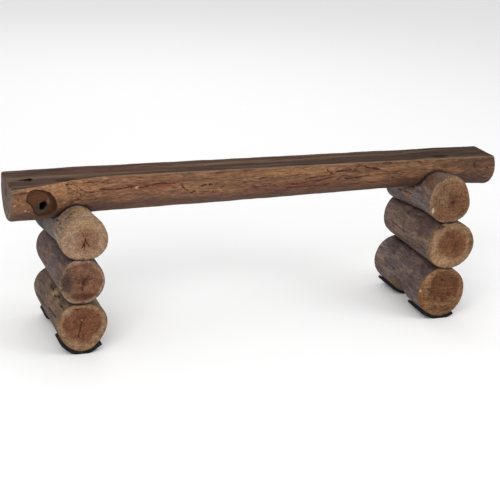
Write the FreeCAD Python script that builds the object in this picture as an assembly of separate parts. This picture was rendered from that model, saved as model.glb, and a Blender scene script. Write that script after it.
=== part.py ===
"""Rustic log bench: a half-log seat on two legs, each of three stacked round logs.

Millimetres, +Z up. The origin is on the ground under the middle of the bench, +X runs along the seat and
-Y is the front. Each log lies front to back in a groove scribed in the log below it, and the seat is notched
over the crown of the top log of each leg. Two long screws go up through each leg into the seat.
"""
import FreeCAD, Part
import math
import os
from typing import NamedTuple

# Seat slab: a peeled log, sawn flat on top
bench_length = 1408.0
slab_diameter = 125.0
flat_above_heart = 36.0
wood_over_left_log = 69.6
wood_over_right_log = 39.0

# Knot hollow in the front face of the slab, near its left end
knot_end_distance = 82.0
knot_below_seat = 44.0
knot_diameter = 74.0
knot_depth = 15.0
knot_hole_diameter = 17.0
knot_hole_depth = 42.0
knot_hole_drop = 6.0

# Leg logs: each leg stands at a distance from its end of the seat
left_leg_end_distance = 173.0
right_leg_end_distance = 181.0
log_length = 305.0
left_bottom_diameter = 135.5
left_middle_diameter = 124.5
left_top_diameter = 118.0
right_bottom_diameter = 147.5
right_top_diameter = 113.0
flare_length = 110.0
saddle_depth = 3.5

# Arch through the underside of the right bottom log
arch_width = 92.0
arch_height = 70.0
arch_flare = 12.0

# Rubber foot pads, bent round the undersides of the bottom logs
pad_thickness = 8.5
pad_wear = 2.4
pad_wing = 14.0
left_front_pad_length = 66.0
left_rear_pad_length = 84.0
right_pad_length = 104.0

# Long screws that go up through each leg into the seat, with a square washer under each hexagonal head
screw_diameter = 10.0
screw_spacing = 40.0
head_across_flats = 17.0
head_height = 7.0
washer_side = 25.0
washer_thickness = 2.5
left_counterbore_depth = 45.0
right_counterbore_depth = 5.0

# Clearances
fit_clearance = 0.3
screw_clearance = 0.4
overrun = 10.0

# How the slab's section changes along it: place, radius, middle forwards or back, and flat above the heart
slab_station_shares = (
    (-0.50, 0.700, -0.174, 0.63),
    (-0.445, 0.655, -0.085, 0.88),
    (-0.386, 0.572, 0.060, 1.10),
    (-0.319, 0.525, 0.150, 1.24),
    (0.415, 0.484, 0.062, 0.89),
    (0.50, 0.510, 0.005, 0.95),
)
slab_lobe_share = 0.012
right_end_skew_share = 0.07
screw_bite_share = 0.65

# Arcs that make up each outline
log_arcs = 12
shaped_log_arcs = 60
slab_arcs = 24
pad_arcs = 3


class Log(NamedTuple):
    """A leg log: its size, its place and the shares by which it is not a plain cylinder."""
    side: int
    diameter: float
    underside: float
    shift_share: float
    oval_share: float
    flare_share: float
    egg_share: float
    lobe_share: float
    brow_share: float
    front_share: float
    back_share: float
    back_shift_share: float = 0.0
    back_drop_share: float = 0.0


class Pad(NamedTuple):
    """A rubber pad: which log carries it, which end it lies at and how far round it goes."""
    log: str
    at_front: bool
    length: float
    left_turn: float
    right_turn: float
    left_wing_share: float
    right_wing_share: float


def log_scale(log, y):
    """How much wider than its plain stretch a log is at a place along it."""
    front = -log_length / 2
    return 1 + log.flare_share * max(0.0, (front + flare_length - y) / flare_length)


def log_height(log, y):
    """Height of a log from its underside to its crown."""
    return log.diameter * (1 + log.oval_share) * log_scale(log, y)


def leg_middle(side):
    """X of the middle of a leg."""
    distance = left_leg_end_distance if side < 0 else right_leg_end_distance
    return side * (bench_length / 2 - distance)


def log_heart(log, y):
    """X and Z of a log's heart at a place along it. Behind its flare a log can lean sideways and down."""
    lean = log.diameter * max(0.0, (y + log_length / 2 - flare_length) / (log_length - flare_length))
    x = leg_middle(log.side) + log.shift_share * log.diameter + log.back_shift_share * lean
    below = (log_height(log, y) + log.brow_share * log.diameter * log_scale(log, y)) / 2
    return x, log.underside + below - log.back_drop_share * lean


def log_point(log, y, turn, grow=0.0):
    """A point at a distance outside the log's surface, at a turn counted from +X towards +Z."""
    x, z = log_heart(log, y)
    shape = 1 - log.oval_share * math.cos(2 * turn)
    shape += log.egg_share * math.cos(3 * turn) + log.lobe_share * math.sin(4 * turn)
    shape += log.brow_share * math.sin(3 * turn)
    reach = log.diameter / 2 * shape * log_scale(log, y) + grow
    return FreeCAD.Vector(x + reach * math.cos(turn), y, z + reach * math.sin(turn))


def arc_wire(points):
    """A closed wire of arcs through points, which are taken three by three."""
    edges = []
    for k in range(0, len(points), 2):
        edges.append(Part.Arc(points[k], points[k + 1], points[(k + 2) % len(points)]).toShape())
    return Part.Wire(edges)


def log_ends(log):
    """Y of a log's front and back ends."""
    return (log.front_share - 0.5) * log_length, (log.back_share - 0.5) * log_length


def log_body(log, grow=0.0, longer=0.0):
    """A log's barrel, which can be made thicker all round and longer at both ends."""
    front, back = log_ends(log)
    places = [front - longer, back + longer]
    arcs = log_arcs
    if log.flare_share:
        places.insert(1, flare_length - log_length / 2)
        arcs = shaped_log_arcs
    wires = []
    for y in places:
        turns = [math.pi * (step - 0.5) / arcs for step in range(2 * arcs)]
        wires.append(arc_wire([log_point(log, y, turn, grow) for turn in turns]))
    return Part.makeLoft(wires, True, True)


def log_hollow(log):
    """What a neighbour loses to let a log lie in it."""
    return log_body(log, fit_clearance, overrun)


def upright(radius, low, high, x, y):
    """An upright cylinder between two heights."""
    return Part.makeCylinder(radius, high - low, FreeCAD.Vector(x, y, low))


# The left leg, built up from the ground, gives the height of the seat
pad_under_log = pad_thickness - pad_wear
left_bottom = Log(-1, left_bottom_diameter, pad_under_log,
                  -0.003, 0.006, 0.0, 0.006, 0.004, 0.044, 0.0, 1.0)
left_middle = Log(-1, left_middle_diameter, left_bottom.underside + log_height(left_bottom, 0) - saddle_depth,
                  -0.010, 0.015, 0.0, 0.008, -0.004, 0.0, 0.008, 0.99)
left_top = Log(-1, left_top_diameter, left_middle.underside + log_height(left_middle, 0) - saddle_depth,
               0.038, 0.005, 0.070, -0.006, 0.005, -0.048, 0.0, 0.93, -0.135, 0.10)
seat_top = left_top.underside + log_height(left_top, 0) + wood_over_left_log

# The right leg has a middle log of the size that brings the seat level
right_bottom = Log(1, right_bottom_diameter, pad_under_log,
                   -0.034, 0.009, 0.0, -0.008, 0.005, 0.005, 0.005, 1.0)
right_top = Log(1, right_top_diameter, 0.0,
                -0.014, 0.078, 0.14, 0.006, -0.004, -0.050, 0.0, 0.93, -0.165, 0.11)
right_top = right_top._replace(underside=seat_top - wood_over_right_log - log_height(right_top, 0))
right_middle_oval_share = -0.014
right_middle_underside = right_bottom.underside + log_height(right_bottom, 0) - saddle_depth
right_middle_height = right_top.underside + saddle_depth - right_middle_underside
right_middle = Log(1, right_middle_height / (1 + right_middle_oval_share), right_middle_underside,
                   0.073, right_middle_oval_share, 0.0, 0.010, 0.005, 0.0, 0.0, 0.985)

logs = {
    "left_bottom_log": left_bottom,
    "left_middle_log": left_middle,
    "left_top_log": left_top,
    "right_bottom_log": right_bottom,
    "right_middle_log": right_middle,
    "right_top_log": right_top,
}
bodies = {name: log_body(log) for name, log in logs.items()}

# Scribed saddles: the log below takes the shape of the log above
for side in ("left", "right"):
    for lower, upper in (("bottom", "middle"), ("middle", "top")):
        lower_name = f"{side}_{lower}_log"
        upper_log = logs[f"{side}_{upper}_log"]
        bodies[lower_name] = bodies[lower_name].cut(log_hollow(upper_log))


def slab_values(share):
    """Radius, Y of the heart and height of the flat above it, at a share of the slab's length."""
    for before, after in zip(slab_station_shares, slab_station_shares[1:]):
        if share <= after[0]:
            part = (share - before[0]) / (after[0] - before[0])
            radius, middle, flat = (a + (b - a) * part for a, b in zip(before[1:], after[1:]))
            return radius * slab_diameter, middle * slab_diameter, flat * flat_above_heart
    raise ValueError(share)


def slab_wire(share):
    """The round section that the slab's log had before it was sawn, at a share of its length."""
    radius, middle, flat = slab_values(share)
    skew_share = right_end_skew_share if share == slab_station_shares[-1][0] else 0.0
    points = []
    for step in range(2 * slab_arcs):
        turn = math.pi * step / slab_arcs
        reach = radius * (1 + slab_lobe_share * math.cos(3 * turn + 2 * math.pi * share))
        x = share * bench_length - skew_share * (radius + reach * math.cos(turn))
        points.append(FreeCAD.Vector(x, middle + reach * math.cos(turn),
                                     seat_top - flat + reach * math.sin(turn)))
    return arc_wire(points)


def knot_tool():
    """The dish and the rotted hole of the knot."""
    share = knot_end_distance / bench_length - 0.5
    radius, middle, flat = slab_values(share)
    z = seat_top - knot_below_seat
    rise = z - (seat_top - flat)
    surface = middle - math.sqrt(radius ** 2 - rise ** 2)
    rim = knot_diameter / 2
    ball_radius = (rim ** 2 + knot_depth ** 2) / (2 * knot_depth)
    middle_point = FreeCAD.Vector(share * bench_length, surface + knot_depth - ball_radius, z)
    mouth = FreeCAD.Vector(share * bench_length, surface, z - knot_hole_drop)
    hole = Part.makeCylinder(knot_hole_diameter / 2, knot_hole_depth, mouth, FreeCAD.Vector(0, 1, 0))
    return Part.makeSphere(ball_radius, middle_point).fuse(hole)


def seat_slab():
    """The seat: sawn flat, cut to length, notched over the top logs and hollowed at the knot."""
    stock = Part.makeLoft([slab_wire(shares[0]) for shares in slab_station_shares], True, True)
    width = 3 * slab_diameter
    corner = FreeCAD.Vector(-bench_length / 2, -width / 2, seat_top - width)
    slab = stock.common(Part.makeBox(bench_length, width, width, corner))
    for name in ("left_top_log", "right_top_log"):
        slab = slab.cut(log_hollow(logs[name]))
    return slab.cut(knot_tool())


bodies["seat_slab"] = seat_slab()


def arch_wire(x, spread):
    """The outline of the arch across the log at X, made wider by a spread."""
    half = arch_width / 2 + spread
    top = right_bottom.underside + arch_height + spread
    low = right_bottom.underside - overrun
    foot_front = FreeCAD.Vector(x, -half, low)
    foot_back = FreeCAD.Vector(x, half, low)
    spring_front = FreeCAD.Vector(x, -half, top - half)
    spring_back = FreeCAD.Vector(x, half, top - half)
    head = Part.Arc(spring_front, FreeCAD.Vector(x, 0, top), spring_back).toShape()
    return Part.Wire([Part.makeLine(foot_front, spring_front), head,
                      Part.makeLine(spring_back, foot_back), Part.makeLine(foot_back, foot_front)])


def arch_tool():
    """A round-headed arch through the log along X, flared where it comes out at both sides."""
    x, _ = log_heart(right_bottom, 0)
    reach = right_bottom.diameter / 2
    tool = Part.Face(arch_wire(x - reach - overrun, 0)).extrude(FreeCAD.Vector(2 * (reach + overrun), 0, 0))
    for side in (-1, 1):
        start = arch_wire(x + side * (reach - 2 * arch_flare), 0)
        mouth = arch_wire(x + side * (reach + arch_flare), 1.5 * arch_flare)
        tool = tool.fuse(Part.makeLoft([start, mouth], True, True))
    return tool


bodies["right_bottom_log"] = bodies["right_bottom_log"].cut(arch_tool())

# Foot pads: each goes from one turn to another, counted in degrees from straight down
pads = {
    "left_front_foot_pad": Pad("left_bottom_log", True, left_front_pad_length, -52, 34, 0.2, 1.0),
    "left_rear_foot_pad": Pad("left_bottom_log", False, left_rear_pad_length, -30, 33, 1.0, 1.0),
    "right_front_foot_pad": Pad("right_bottom_log", True, right_pad_length, -28, 26, 1.0, 0.6),
    "right_rear_foot_pad": Pad("right_bottom_log", False, right_pad_length, -32, 30, 1.0, 1.0),
}


def arc_edges(points):
    """Arcs through points, which are taken three by three, as open edges."""
    return [Part.Arc(*points[k:k + 3]).toShape() for k in range(0, len(points) - 2, 2)]


def foot_pad(pad):
    """A strip of rubber round the log's underside: straight wings, and worn flat on the ground."""
    log = logs[pad.log]
    front, back = log_ends(log)
    if pad.at_front:
        back = front + pad.length
    else:
        front = back - pad.length
    left = math.radians(pad.left_turn)
    right = math.radians(pad.right_turn)
    down = -math.pi / 2
    turns = [down + left + (right - left) * step / (2 * pad_arcs) for step in range(2 * pad_arcs + 1)]
    outer = [log_point(log, front, turn, pad_thickness) for turn in turns]
    inner = [log_point(log, front, turn, fit_clearance - pad_thickness / 2) for turn in turns]
    left_end, right_end = (log_point(log, front, turn, fit_clearance) for turn in (turns[0], turns[-1]))
    left_way = FreeCAD.Vector(-math.cos(left), 0, -math.sin(left)) * pad_wing * pad.left_wing_share
    right_way = FreeCAD.Vector(math.cos(right), 0, math.sin(right)) * pad_wing * pad.right_wing_share
    corners = [outer[-1], outer[-1] + right_way, right_end + right_way, right_end, inner[-1]]
    edges = arc_edges(outer) + [Part.makeLine(a, b) for a, b in zip(corners, corners[1:])]
    corners = [inner[0], left_end, left_end + left_way, outer[0] + left_way, outer[0]]
    edges += arc_edges(inner[::-1]) + [Part.makeLine(a, b) for a, b in zip(corners, corners[1:])]
    strip = Part.Face(Part.Wire(edges)).extrude(FreeCAD.Vector(0, back - front, 0))
    width = 2 * log.diameter
    x, _ = log_heart(log, front)
    ground = Part.makeBox(width, width, width, FreeCAD.Vector(x - width / 2, front - width / 4, 0))
    return strip.cut(log_hollow(log)).common(ground)


for name, pad in pads.items():
    bodies[name] = foot_pad(pad)


def hexagon(across_flats, low, high, x, y):
    """An upright hexagonal prism between two heights."""
    corner = across_flats / math.sqrt(3)
    points = []
    for step in range(7):
        turn = math.pi * step / 3
        points.append(FreeCAD.Vector(x + corner * math.cos(turn), y + corner * math.sin(turn), low))
    return Part.Face(Part.makePolygon(points)).extrude(FreeCAD.Vector(0, 0, high - low))


def leg_screw(side, place, y, counterbore_depth, wood_over_log):
    """A long screw from a counterbore in the bottom log up into the seat, and its washer."""
    bottom, middle, top = (f"{side}_{level}_log" for level in ("bottom", "middle", "top"))
    x = sum(log_heart(logs[name], y)[0] for name in (bottom, middle, top)) / 3
    ledge = logs[bottom].underside + counterbore_depth
    seat = ledge - washer_thickness
    tip = logs[top].underside + log_height(logs[top], y) + wood_over_log * screw_bite_share
    radius = screw_diameter / 2
    bore = upright(radius + screw_clearance, seat - overrun, tip + screw_clearance, x, y)
    corner = FreeCAD.Vector(x - washer_side / 2, y - washer_side / 2, seat)
    washer = Part.makeBox(washer_side, washer_side, washer_thickness, corner)
    mouth_radius = washer_side / math.sqrt(2) + screw_clearance
    mouth = upright(mouth_radius, logs[bottom].underside - overrun, ledge, x, y)
    head = hexagon(head_across_flats, seat - head_height, seat, x, y)
    bodies[f"{side}_{place}_screw"] = head.fuse(upright(radius, seat, tip, x, y))
    bodies[f"{side}_{place}_washer"] = washer.cut(bore)
    bodies[bottom] = bodies[bottom].cut(mouth)
    for name in (bottom, middle, top, "seat_slab"):
        bodies[name] = bodies[name].cut(bore)


for side, counterbore_depth, wood_over_log in (
        ("left", left_counterbore_depth, wood_over_left_log),
        ("right", arch_height + right_counterbore_depth, wood_over_right_log)):
    for place, y in (("front", -screw_spacing / 2), ("rear", screw_spacing / 2)):
        leg_screw(side, place, y, counterbore_depth, wood_over_log)

os.makedirs("parts", exist_ok=True)
for name, body in bodies.items():
    body.exportStep(f"parts/{name}.step")
    kinds = (len(body.Solids), body.isValid(), body.Volume / 1000)
    print(name, "solids %d valid %s volume %.1f cm3" % kinds)
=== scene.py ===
"""Rustic log bench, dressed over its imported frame.

Metres, +Z up, -Y the front. The seat and the six logs are dense meshes that repeat the frame's sections,
bedded into each other, and one Geometry Nodes tree weathers them all and carves their drying checks. A second
tree makes the nails of the rubber pads. Every finish is a node material.
"""
import logging
import math
from dataclasses import dataclass, replace
from enum import Enum, IntEnum
from typing import Iterable, Sequence

import bmesh
import bpy
import numpy as np
from mathutils import Euler, Matrix, Vector


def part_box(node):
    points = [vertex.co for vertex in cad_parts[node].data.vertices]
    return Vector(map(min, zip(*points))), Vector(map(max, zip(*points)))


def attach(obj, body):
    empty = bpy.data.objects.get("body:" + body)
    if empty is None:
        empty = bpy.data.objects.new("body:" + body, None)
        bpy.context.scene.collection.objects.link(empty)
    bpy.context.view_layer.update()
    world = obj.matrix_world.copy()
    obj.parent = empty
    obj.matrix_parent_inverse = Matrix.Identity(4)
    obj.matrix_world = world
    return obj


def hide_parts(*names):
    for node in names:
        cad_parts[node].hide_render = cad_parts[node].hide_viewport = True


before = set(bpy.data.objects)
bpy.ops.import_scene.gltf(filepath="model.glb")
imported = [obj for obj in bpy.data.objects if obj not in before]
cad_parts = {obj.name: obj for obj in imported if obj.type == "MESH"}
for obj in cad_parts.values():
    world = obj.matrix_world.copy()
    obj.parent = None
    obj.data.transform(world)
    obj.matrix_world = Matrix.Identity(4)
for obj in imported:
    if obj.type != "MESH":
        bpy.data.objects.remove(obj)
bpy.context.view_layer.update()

log = logging.getLogger("bench")

Array = np.ndarray
Object = bpy.types.Object
Material = bpy.types.Material
Socket = bpy.types.NodeSocket
Value = Socket | float
Triple = tuple[float, float, float]
Colour = Triple
Path = tuple[tuple[float, float], ...]

# The frame's own sizes that its boxes don't show, in metres
LOG_LENGTH = 0.305
FLARE_LENGTH = 0.110
FLARE_END = FLARE_LENGTH - LOG_LENGTH / 2
SADDLE_GAP = 0.0006

# How far from a joint its distance is kept, how many rows round an arris, and what angle makes an edge sharp
GAP_REACH = 0.05
ARRIS_ROWS = 4
SHARP_ANGLE = math.radians(50)
WHITE = (1.0, 1.0, 1.0)


def paint(red: float, green: float, blue: float) -> Colour:
    """Turns a screen colour, in steps from 0 to 255, into linear light."""
    shares = (value / 255 for value in (red, green, blue))
    return tuple(s / 12.92 if s < 0.04045 else ((s + 0.055) / 1.055) ** 2.4 for s in shares)


def lighter(colour: Colour, factor: float) -> Colour:
    """Multiplies a plain colour."""
    return tuple(factor * value for value in colour)


def rgba(colour: Socket | Colour) -> Socket | tuple[float, ...]:
    """Gives a colour its alpha, and passes a socket on."""
    return colour if isinstance(colour, Socket) else (*colour[:3], 1.0)


class Zone(IntEnum):
    """The part of a wooden piece that a face belongs to, kept as a face attribute."""
    SIDE = 0
    END = 1
    SAWN = 2

    @property
    def label(self) -> str:
        """Name of the tree's input for the material of this part."""
        return self.name.title() + " Material"


class Grain(Enum):
    """The axis that the fibres of a piece run along, as factors that draw patterns out along it."""
    X = (0.10, 1.0, 1.0)
    Y = (1.0, 0.10, 1.0)


@dataclass(frozen=True)
class Patch:
    """A ragged soft spot of another colour, in the coordinates of the finish that it lies on."""
    place: Triple
    half: Triple
    colour: Colour
    strength: float = 0.8
    ragged: float = 0.6
    soft: float = 0.25


def spots(*rows: tuple[float, ...]) -> tuple[Patch, ...]:
    """Reads rows of place, half size, screen colour and, where given, strength, raggedness and softness."""
    return tuple(Patch(row[:3], row[3:6], paint(*row[6:9]), *row[9:]) for row in rows)


def end_spots(*rows: tuple[float, ...]) -> tuple[Patch, ...]:
    """Reads such rows for a sawn end, where places and half sizes are two shares of the radius."""
    return spots(*((*row[:2], 0.0, *row[2:4], 1.0, *row[4:]) for row in rows))


def paths(*rows: tuple[float, ...]) -> tuple[Path, ...]:
    """Reads broken lines from rows with the two coordinates of each corner in turn."""
    return tuple(tuple(zip(row[::2], row[1::2])) for row in rows)


class Graph:
    """A node tree that is built call by call, with sockets or plain values as inputs."""

    def __init__(self, tree: bpy.types.NodeTree) -> None:
        """Starts on a tree, which it empties."""
        self.tree = tree
        tree.nodes.clear()

    def add(self, kind: str, inputs: dict | None = None, **settings: object) -> bpy.types.Node:
        """Adds a node.

        Args:
            kind: the node's bl_idname.
            inputs: input name or index to a socket or a value.
            **settings: properties set before the inputs.

        Returns:
            The new node.
        """
        node = self.tree.nodes.new(kind)
        for name, value in settings.items():
            setattr(node, name, value)
        for key, value in (inputs or {}).items():
            if isinstance(value, Socket):
                self.tree.links.new(value, node.inputs[key])
            else:
                node.inputs[key].default_value = value
        return node

    def math(self, operation: str, *values: Value, clamp: bool = False) -> Socket:
        """Adds a Math node and returns its value."""
        node = self.add("ShaderNodeMath", dict(enumerate(values)), operation=operation, use_clamp=clamp)
        return node.outputs[0]

    def vector(self, operation: str, *values: object) -> Socket:
        """Adds a Vector Math node and returns its vector, or its number where it gives one."""
        node = self.add("ShaderNodeVectorMath", dict(enumerate(values)), operation=operation)
        return node.outputs[1 if operation == "LENGTH" else 0]

    def join(self, x: Value = 0.0, y: Value = 0.0, z: Value = 0.0) -> Socket:
        """Adds a Combine XYZ node and returns its vector."""
        return self.add("ShaderNodeCombineXYZ", {0: x, 1: y, 2: z}).outputs[0]

    def place(self) -> Socket:
        """Adds a Texture Coordinate node and returns where a point lies on the bench."""
        return self.add("ShaderNodeTexCoord").outputs["Object"]

    def attribute(self, name: str, output: str = "Fac") -> Socket:
        """Adds an Attribute node for a point attribute of the mesh."""
        return self.add("ShaderNodeAttribute", attribute_name=name).outputs[output]

    def noise(self, vector: Socket, scale: float, detail: float = 4.0, roughness: float = 0.55,
              distortion: float = 0.0) -> Socket:
        """Adds a Noise Texture and returns its value, around a half."""
        inputs = {"Vector": vector, "Scale": scale, "Detail": detail, "Roughness": roughness,
                  "Distortion": distortion}
        return self.add("ShaderNodeTexNoise", inputs).outputs[0]

    def step(self, value: Socket, low: float, high: float, out_low: float = 0.0,
             out_high: float = 1.0) -> Socket:
        """Adds a smooth clamped Map Range from one span to another and returns its value."""
        inputs = {0: value, 1: low, 2: high, 3: out_low, 4: out_high}
        return self.add("ShaderNodeMapRange", inputs, interpolation_type="SMOOTHSTEP").outputs[0]

    def times(self, first: Value, *others: Value) -> Socket:
        """Multiplies two or more values."""
        for other in others:
            first = self.math("MULTIPLY", first, other)
        return first

    def mix(self, factor: Value, a: Socket | Colour, b: Socket | Colour, blend: str = "MIX") -> Socket:
        """Adds a colour Mix node and returns its colour."""
        inputs = {0: factor, 6: rgba(a), 7: rgba(b)}
        return self.add("ShaderNodeMix", inputs, data_type="RGBA", blend_type=blend).outputs[2]

    def shade(self, colour: Socket, factor: Socket | Colour) -> Socket:
        """Multiplies a colour by a value or by another colour."""
        if isinstance(factor, Socket):
            factor = self.add("ShaderNodeCombineColor", {0: factor, 1: factor, 2: factor}).outputs[0]
        return self.mix(1.0, colour, factor, "MULTIPLY")

    def ramp(self, value: Socket, stops: Sequence[tuple[float, Colour]]) -> Socket:
        """Adds a Color Ramp.

        Args:
            value: what it is read at.
            stops: place and colour of each stop.

        Returns:
            Its colour.
        """
        node = self.add("ShaderNodeValToRGB", {0: value})
        elements = node.color_ramp.elements
        while len(elements) < len(stops):
            elements.new(1.0)
        for element, (place, colour) in zip(elements, stops):
            element.position = place
            element.color = rgba(colour)
        return node.outputs[0]

    def patches(self, colour: Socket, place: Socket, ragged: Socket, patches: Sequence[Patch]) -> Socket:
        """Lays soft spots over a colour.

        Args:
            colour: the colour below.
            place: where a point lies, in the coordinates of the patches.
            ragged: a noise value around a half that frays their edges.
            patches: the spots, from the lowest to the topmost.

        Returns:
            The colour with its spots.
        """
        fray = self.math("SUBTRACT", ragged, 0.5)
        for patch in patches:
            apart = self.vector("DIVIDE", self.vector("SUBTRACT", place, patch.place), patch.half)
            reach = self.math("MULTIPLY_ADD", fray, 2 * patch.ragged, self.vector("LENGTH", apart))
            mask = self.step(reach, 1 - patch.soft, 1 + patch.soft, patch.strength, 0.0)
            colour = self.mix(mask, colour, patch.colour)
        return colour

    def paint_joint_shade_and_checks(self, colour: Socket, joint_shade: Colour, crack: Colour, strength: float = 0.85,
                reach: float = 0.010, line: float = 0.0021) -> Socket:
        """Paints shade onto wood where another piece lies close to it, and darkens it along its drying
        checks.

        Args:
            colour: the wood's colour.
            joint_shade: the colour of the painted shade at the joints.
            crack: the colour of a check.
            strength: how much of the painted shade shows right at the joint.
            reach: how far out of the joint it goes, in metres.
            line: how far a check's colour reaches to either side of it, in metres.

        Returns:
            The darkened colour.
        """
        fray = self.math("SUBTRACT", self.noise(self.place(), 95.0, 4.0, 0.6), 0.5)
        gap = self.math("MULTIPLY_ADD", fray, 1.8 * reach, self.attribute("gap"))
        # Painted shade at the joints, frayed by noise
        colour = self.mix(self.step(gap, 0.0, reach, strength, 0.0), colour, joint_shade)
        near = self.math("MULTIPLY_ADD", fray, 1.3 * line, self.attribute("check"))
        return self.mix(self.step(near, 0.3 * line, line, 0.9, 0.0), colour, crack)

    def surface(self, colour: Socket | Colour, roughness: Value, height: Socket, depth: float,
                **sockets: float) -> None:
        """Ends a material with a bumped principled shader.

        Args:
            colour: base colour.
            roughness: roughness.
            height: bump height between 0 and 1.
            depth: how deep the bump is, in metres.
            **sockets: other values of the shader, by socket name with underscores for blanks.
        """
        bump = self.add("ShaderNodeBump", {"Strength": 1.0, "Distance": depth, "Height": height})
        inputs = {"Base Color": rgba(colour), "Roughness": roughness, "Normal": bump.outputs[0]}
        inputs.update({name.replace("_", " "): value for name, value in sockets.items()})
        shader = self.add("ShaderNodeBsdfPrincipled", inputs)
        self.add("ShaderNodeOutputMaterial", {"Surface": shader.outputs[0]})


@dataclass(frozen=True)
class Finish:
    """A described material."""
    name: str

    def fill(self, graph: Graph) -> None:
        """Adds the nodes of the finish to a graph; every finish has its own."""
        raise NotImplementedError

    def material(self) -> Material:
        """Makes the finish.

        Returns:
            The material.
        """
        material = bpy.data.materials.new(self.name)
        material.use_nodes = True
        self.fill(Graph(material.node_tree))
        return material


@dataclass(frozen=True)
class PeeledWood(Finish):
    """Finish of a debarked round surface: fibres, blotches, grey weather, flecks, cracks and specks."""
    grain: Grain
    pale: Colour
    mid: Colour
    dark: Colour
    grey: Colour
    fleck: Colour
    grey_share: float = 0.5
    fleck_share: float = 0.5
    crack: Colour = paint(46, 28, 22)
    crack_share: float = 0.5
    blotch_scale: float = 16.0
    stretch: Triple = (1.0, 1.0, 1.0)
    gain: Colour = WHITE
    spots: tuple[Patch, ...] = ()
    seed: float = 0.0
    bump: float = 0.0016
    # Colour, reach and strength of the painted shade where other pieces lie close
    joint_shade: Colour = paint(38, 25, 22)
    joint_shade_reach: float = 0.013
    joint_shade_strength: float = 0.92
    line: float = 0.0021

    def fill(self, graph: Graph) -> None:
        """Adds the finish's nodes.

        Args:
            graph: the material's graph.
        """
        real = graph.place()
        place = graph.vector("ADD", real, (self.seed, self.seed * 0.7, self.seed * 1.3))
        place = graph.vector("ADD", place, graph.attribute("flow", "Vector"))
        along = graph.vector("MULTIPLY", place, self.grain.value)
        sway = graph.times(graph.noise(place, 9.0, 2.0), 0.035)
        bent = graph.vector("ADD", along, graph.join(sway, 0.0, sway))
        fibre = graph.noise(bent, 330.0, 6.0, 0.65)
        strand = graph.noise(bent, 75.0, 5.0, 0.6)
        drawn = graph.vector("MULTIPLY", place, self.stretch)
        blotch = graph.noise(drawn, self.blotch_scale, 5.0, 0.6, 0.6)
        tone = graph.math("ADD", graph.times(blotch, 0.55), graph.times(strand, 0.45))
        colour = graph.ramp(tone, [(0.37, self.dark), (0.50, self.mid), (0.62, self.pale)])
        weather = graph.noise(place, 7.5, 6.0, 0.62, 0.4)
        more = 0.30 * self.grey_share
        grey_mask = graph.step(weather, 0.62 - more, 0.78 - more, 0.0, 0.85)
        grey = graph.mix(graph.step(strand, 0.35, 0.68), lighter(self.grey, 0.72), lighter(self.grey, 1.35))
        colour = graph.mix(grey_mask, colour, grey)
        fleck = graph.noise(graph.vector("ADD", bent, (7.0, 3.0, 1.0)), 130.0, 3.0, 0.55)
        share = graph.step(weather, 0.40, 0.60, 0.25, self.fleck_share)
        colour = graph.mix(graph.times(graph.step(fleck, 0.60, 0.68), share), colour, self.fleck)
        fray = graph.noise(graph.vector("MULTIPLY", place, (0.5, 0.5, 1.0)), 60.0, 5.0, 0.65)
        colour = graph.patches(colour, real, fray, self.spots)
        colour = graph.shade(colour, graph.step(fibre, 0.33, 0.68, 0.66, 1.28))
        colour = graph.shade(colour, graph.step(graph.noise(drawn, 230.0, 3.0, 0.6), 0.3, 0.7, 0.72, 1.26))
        line = graph.math("ABSOLUTE", graph.math("SUBTRACT", graph.noise(bent, 42.0, 3.0, 0.5, 0.5), 0.5))
        rare = 0.16 * self.crack_share
        sparse = graph.step(graph.noise(place, 13.0, 2.0), 0.60 - rare, 0.68 - rare)
        cracks = graph.times(graph.step(line, 0.003, 0.014, 1.0, 0.0), sparse)
        colour = graph.mix(graph.times(cracks, 0.8), colour, self.crack)
        dots = graph.add("ShaderNodeTexVoronoi", {"Vector": place, "Scale": 95.0}).outputs["Distance"]
        dots = graph.times(graph.step(dots, 0.05, 0.15, 1.0, 0.0), graph.step(blotch, 0.55, 0.62, 0.0, 0.6))
        colour = graph.mix(dots, colour, self.crack)
        colour = graph.shade(colour, self.gain)
        height = graph.math("ADD", graph.times(fibre, 0.35), graph.times(strand, 0.65))
        height = graph.math("SUBTRACT", height, graph.times(cracks, 0.6))
        roughness = graph.step(blotch, 0.3, 0.7, 0.70, 0.88)
        colour = self.marked(graph, colour)
        # Painted shade at the joints, and dark drying checks
        colour = graph.paint_joint_shade_and_checks(colour, self.joint_shade, self.crack, self.joint_shade_strength, self.joint_shade_reach, self.line)
        graph.surface(colour, roughness, height, self.bump, Specular_IOR_Level=0.22)

    def marked(self, graph: Graph, colour: Socket) -> Socket:
        """Adds what only one piece has to the wood's colour, which is nothing here."""
        return colour


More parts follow.
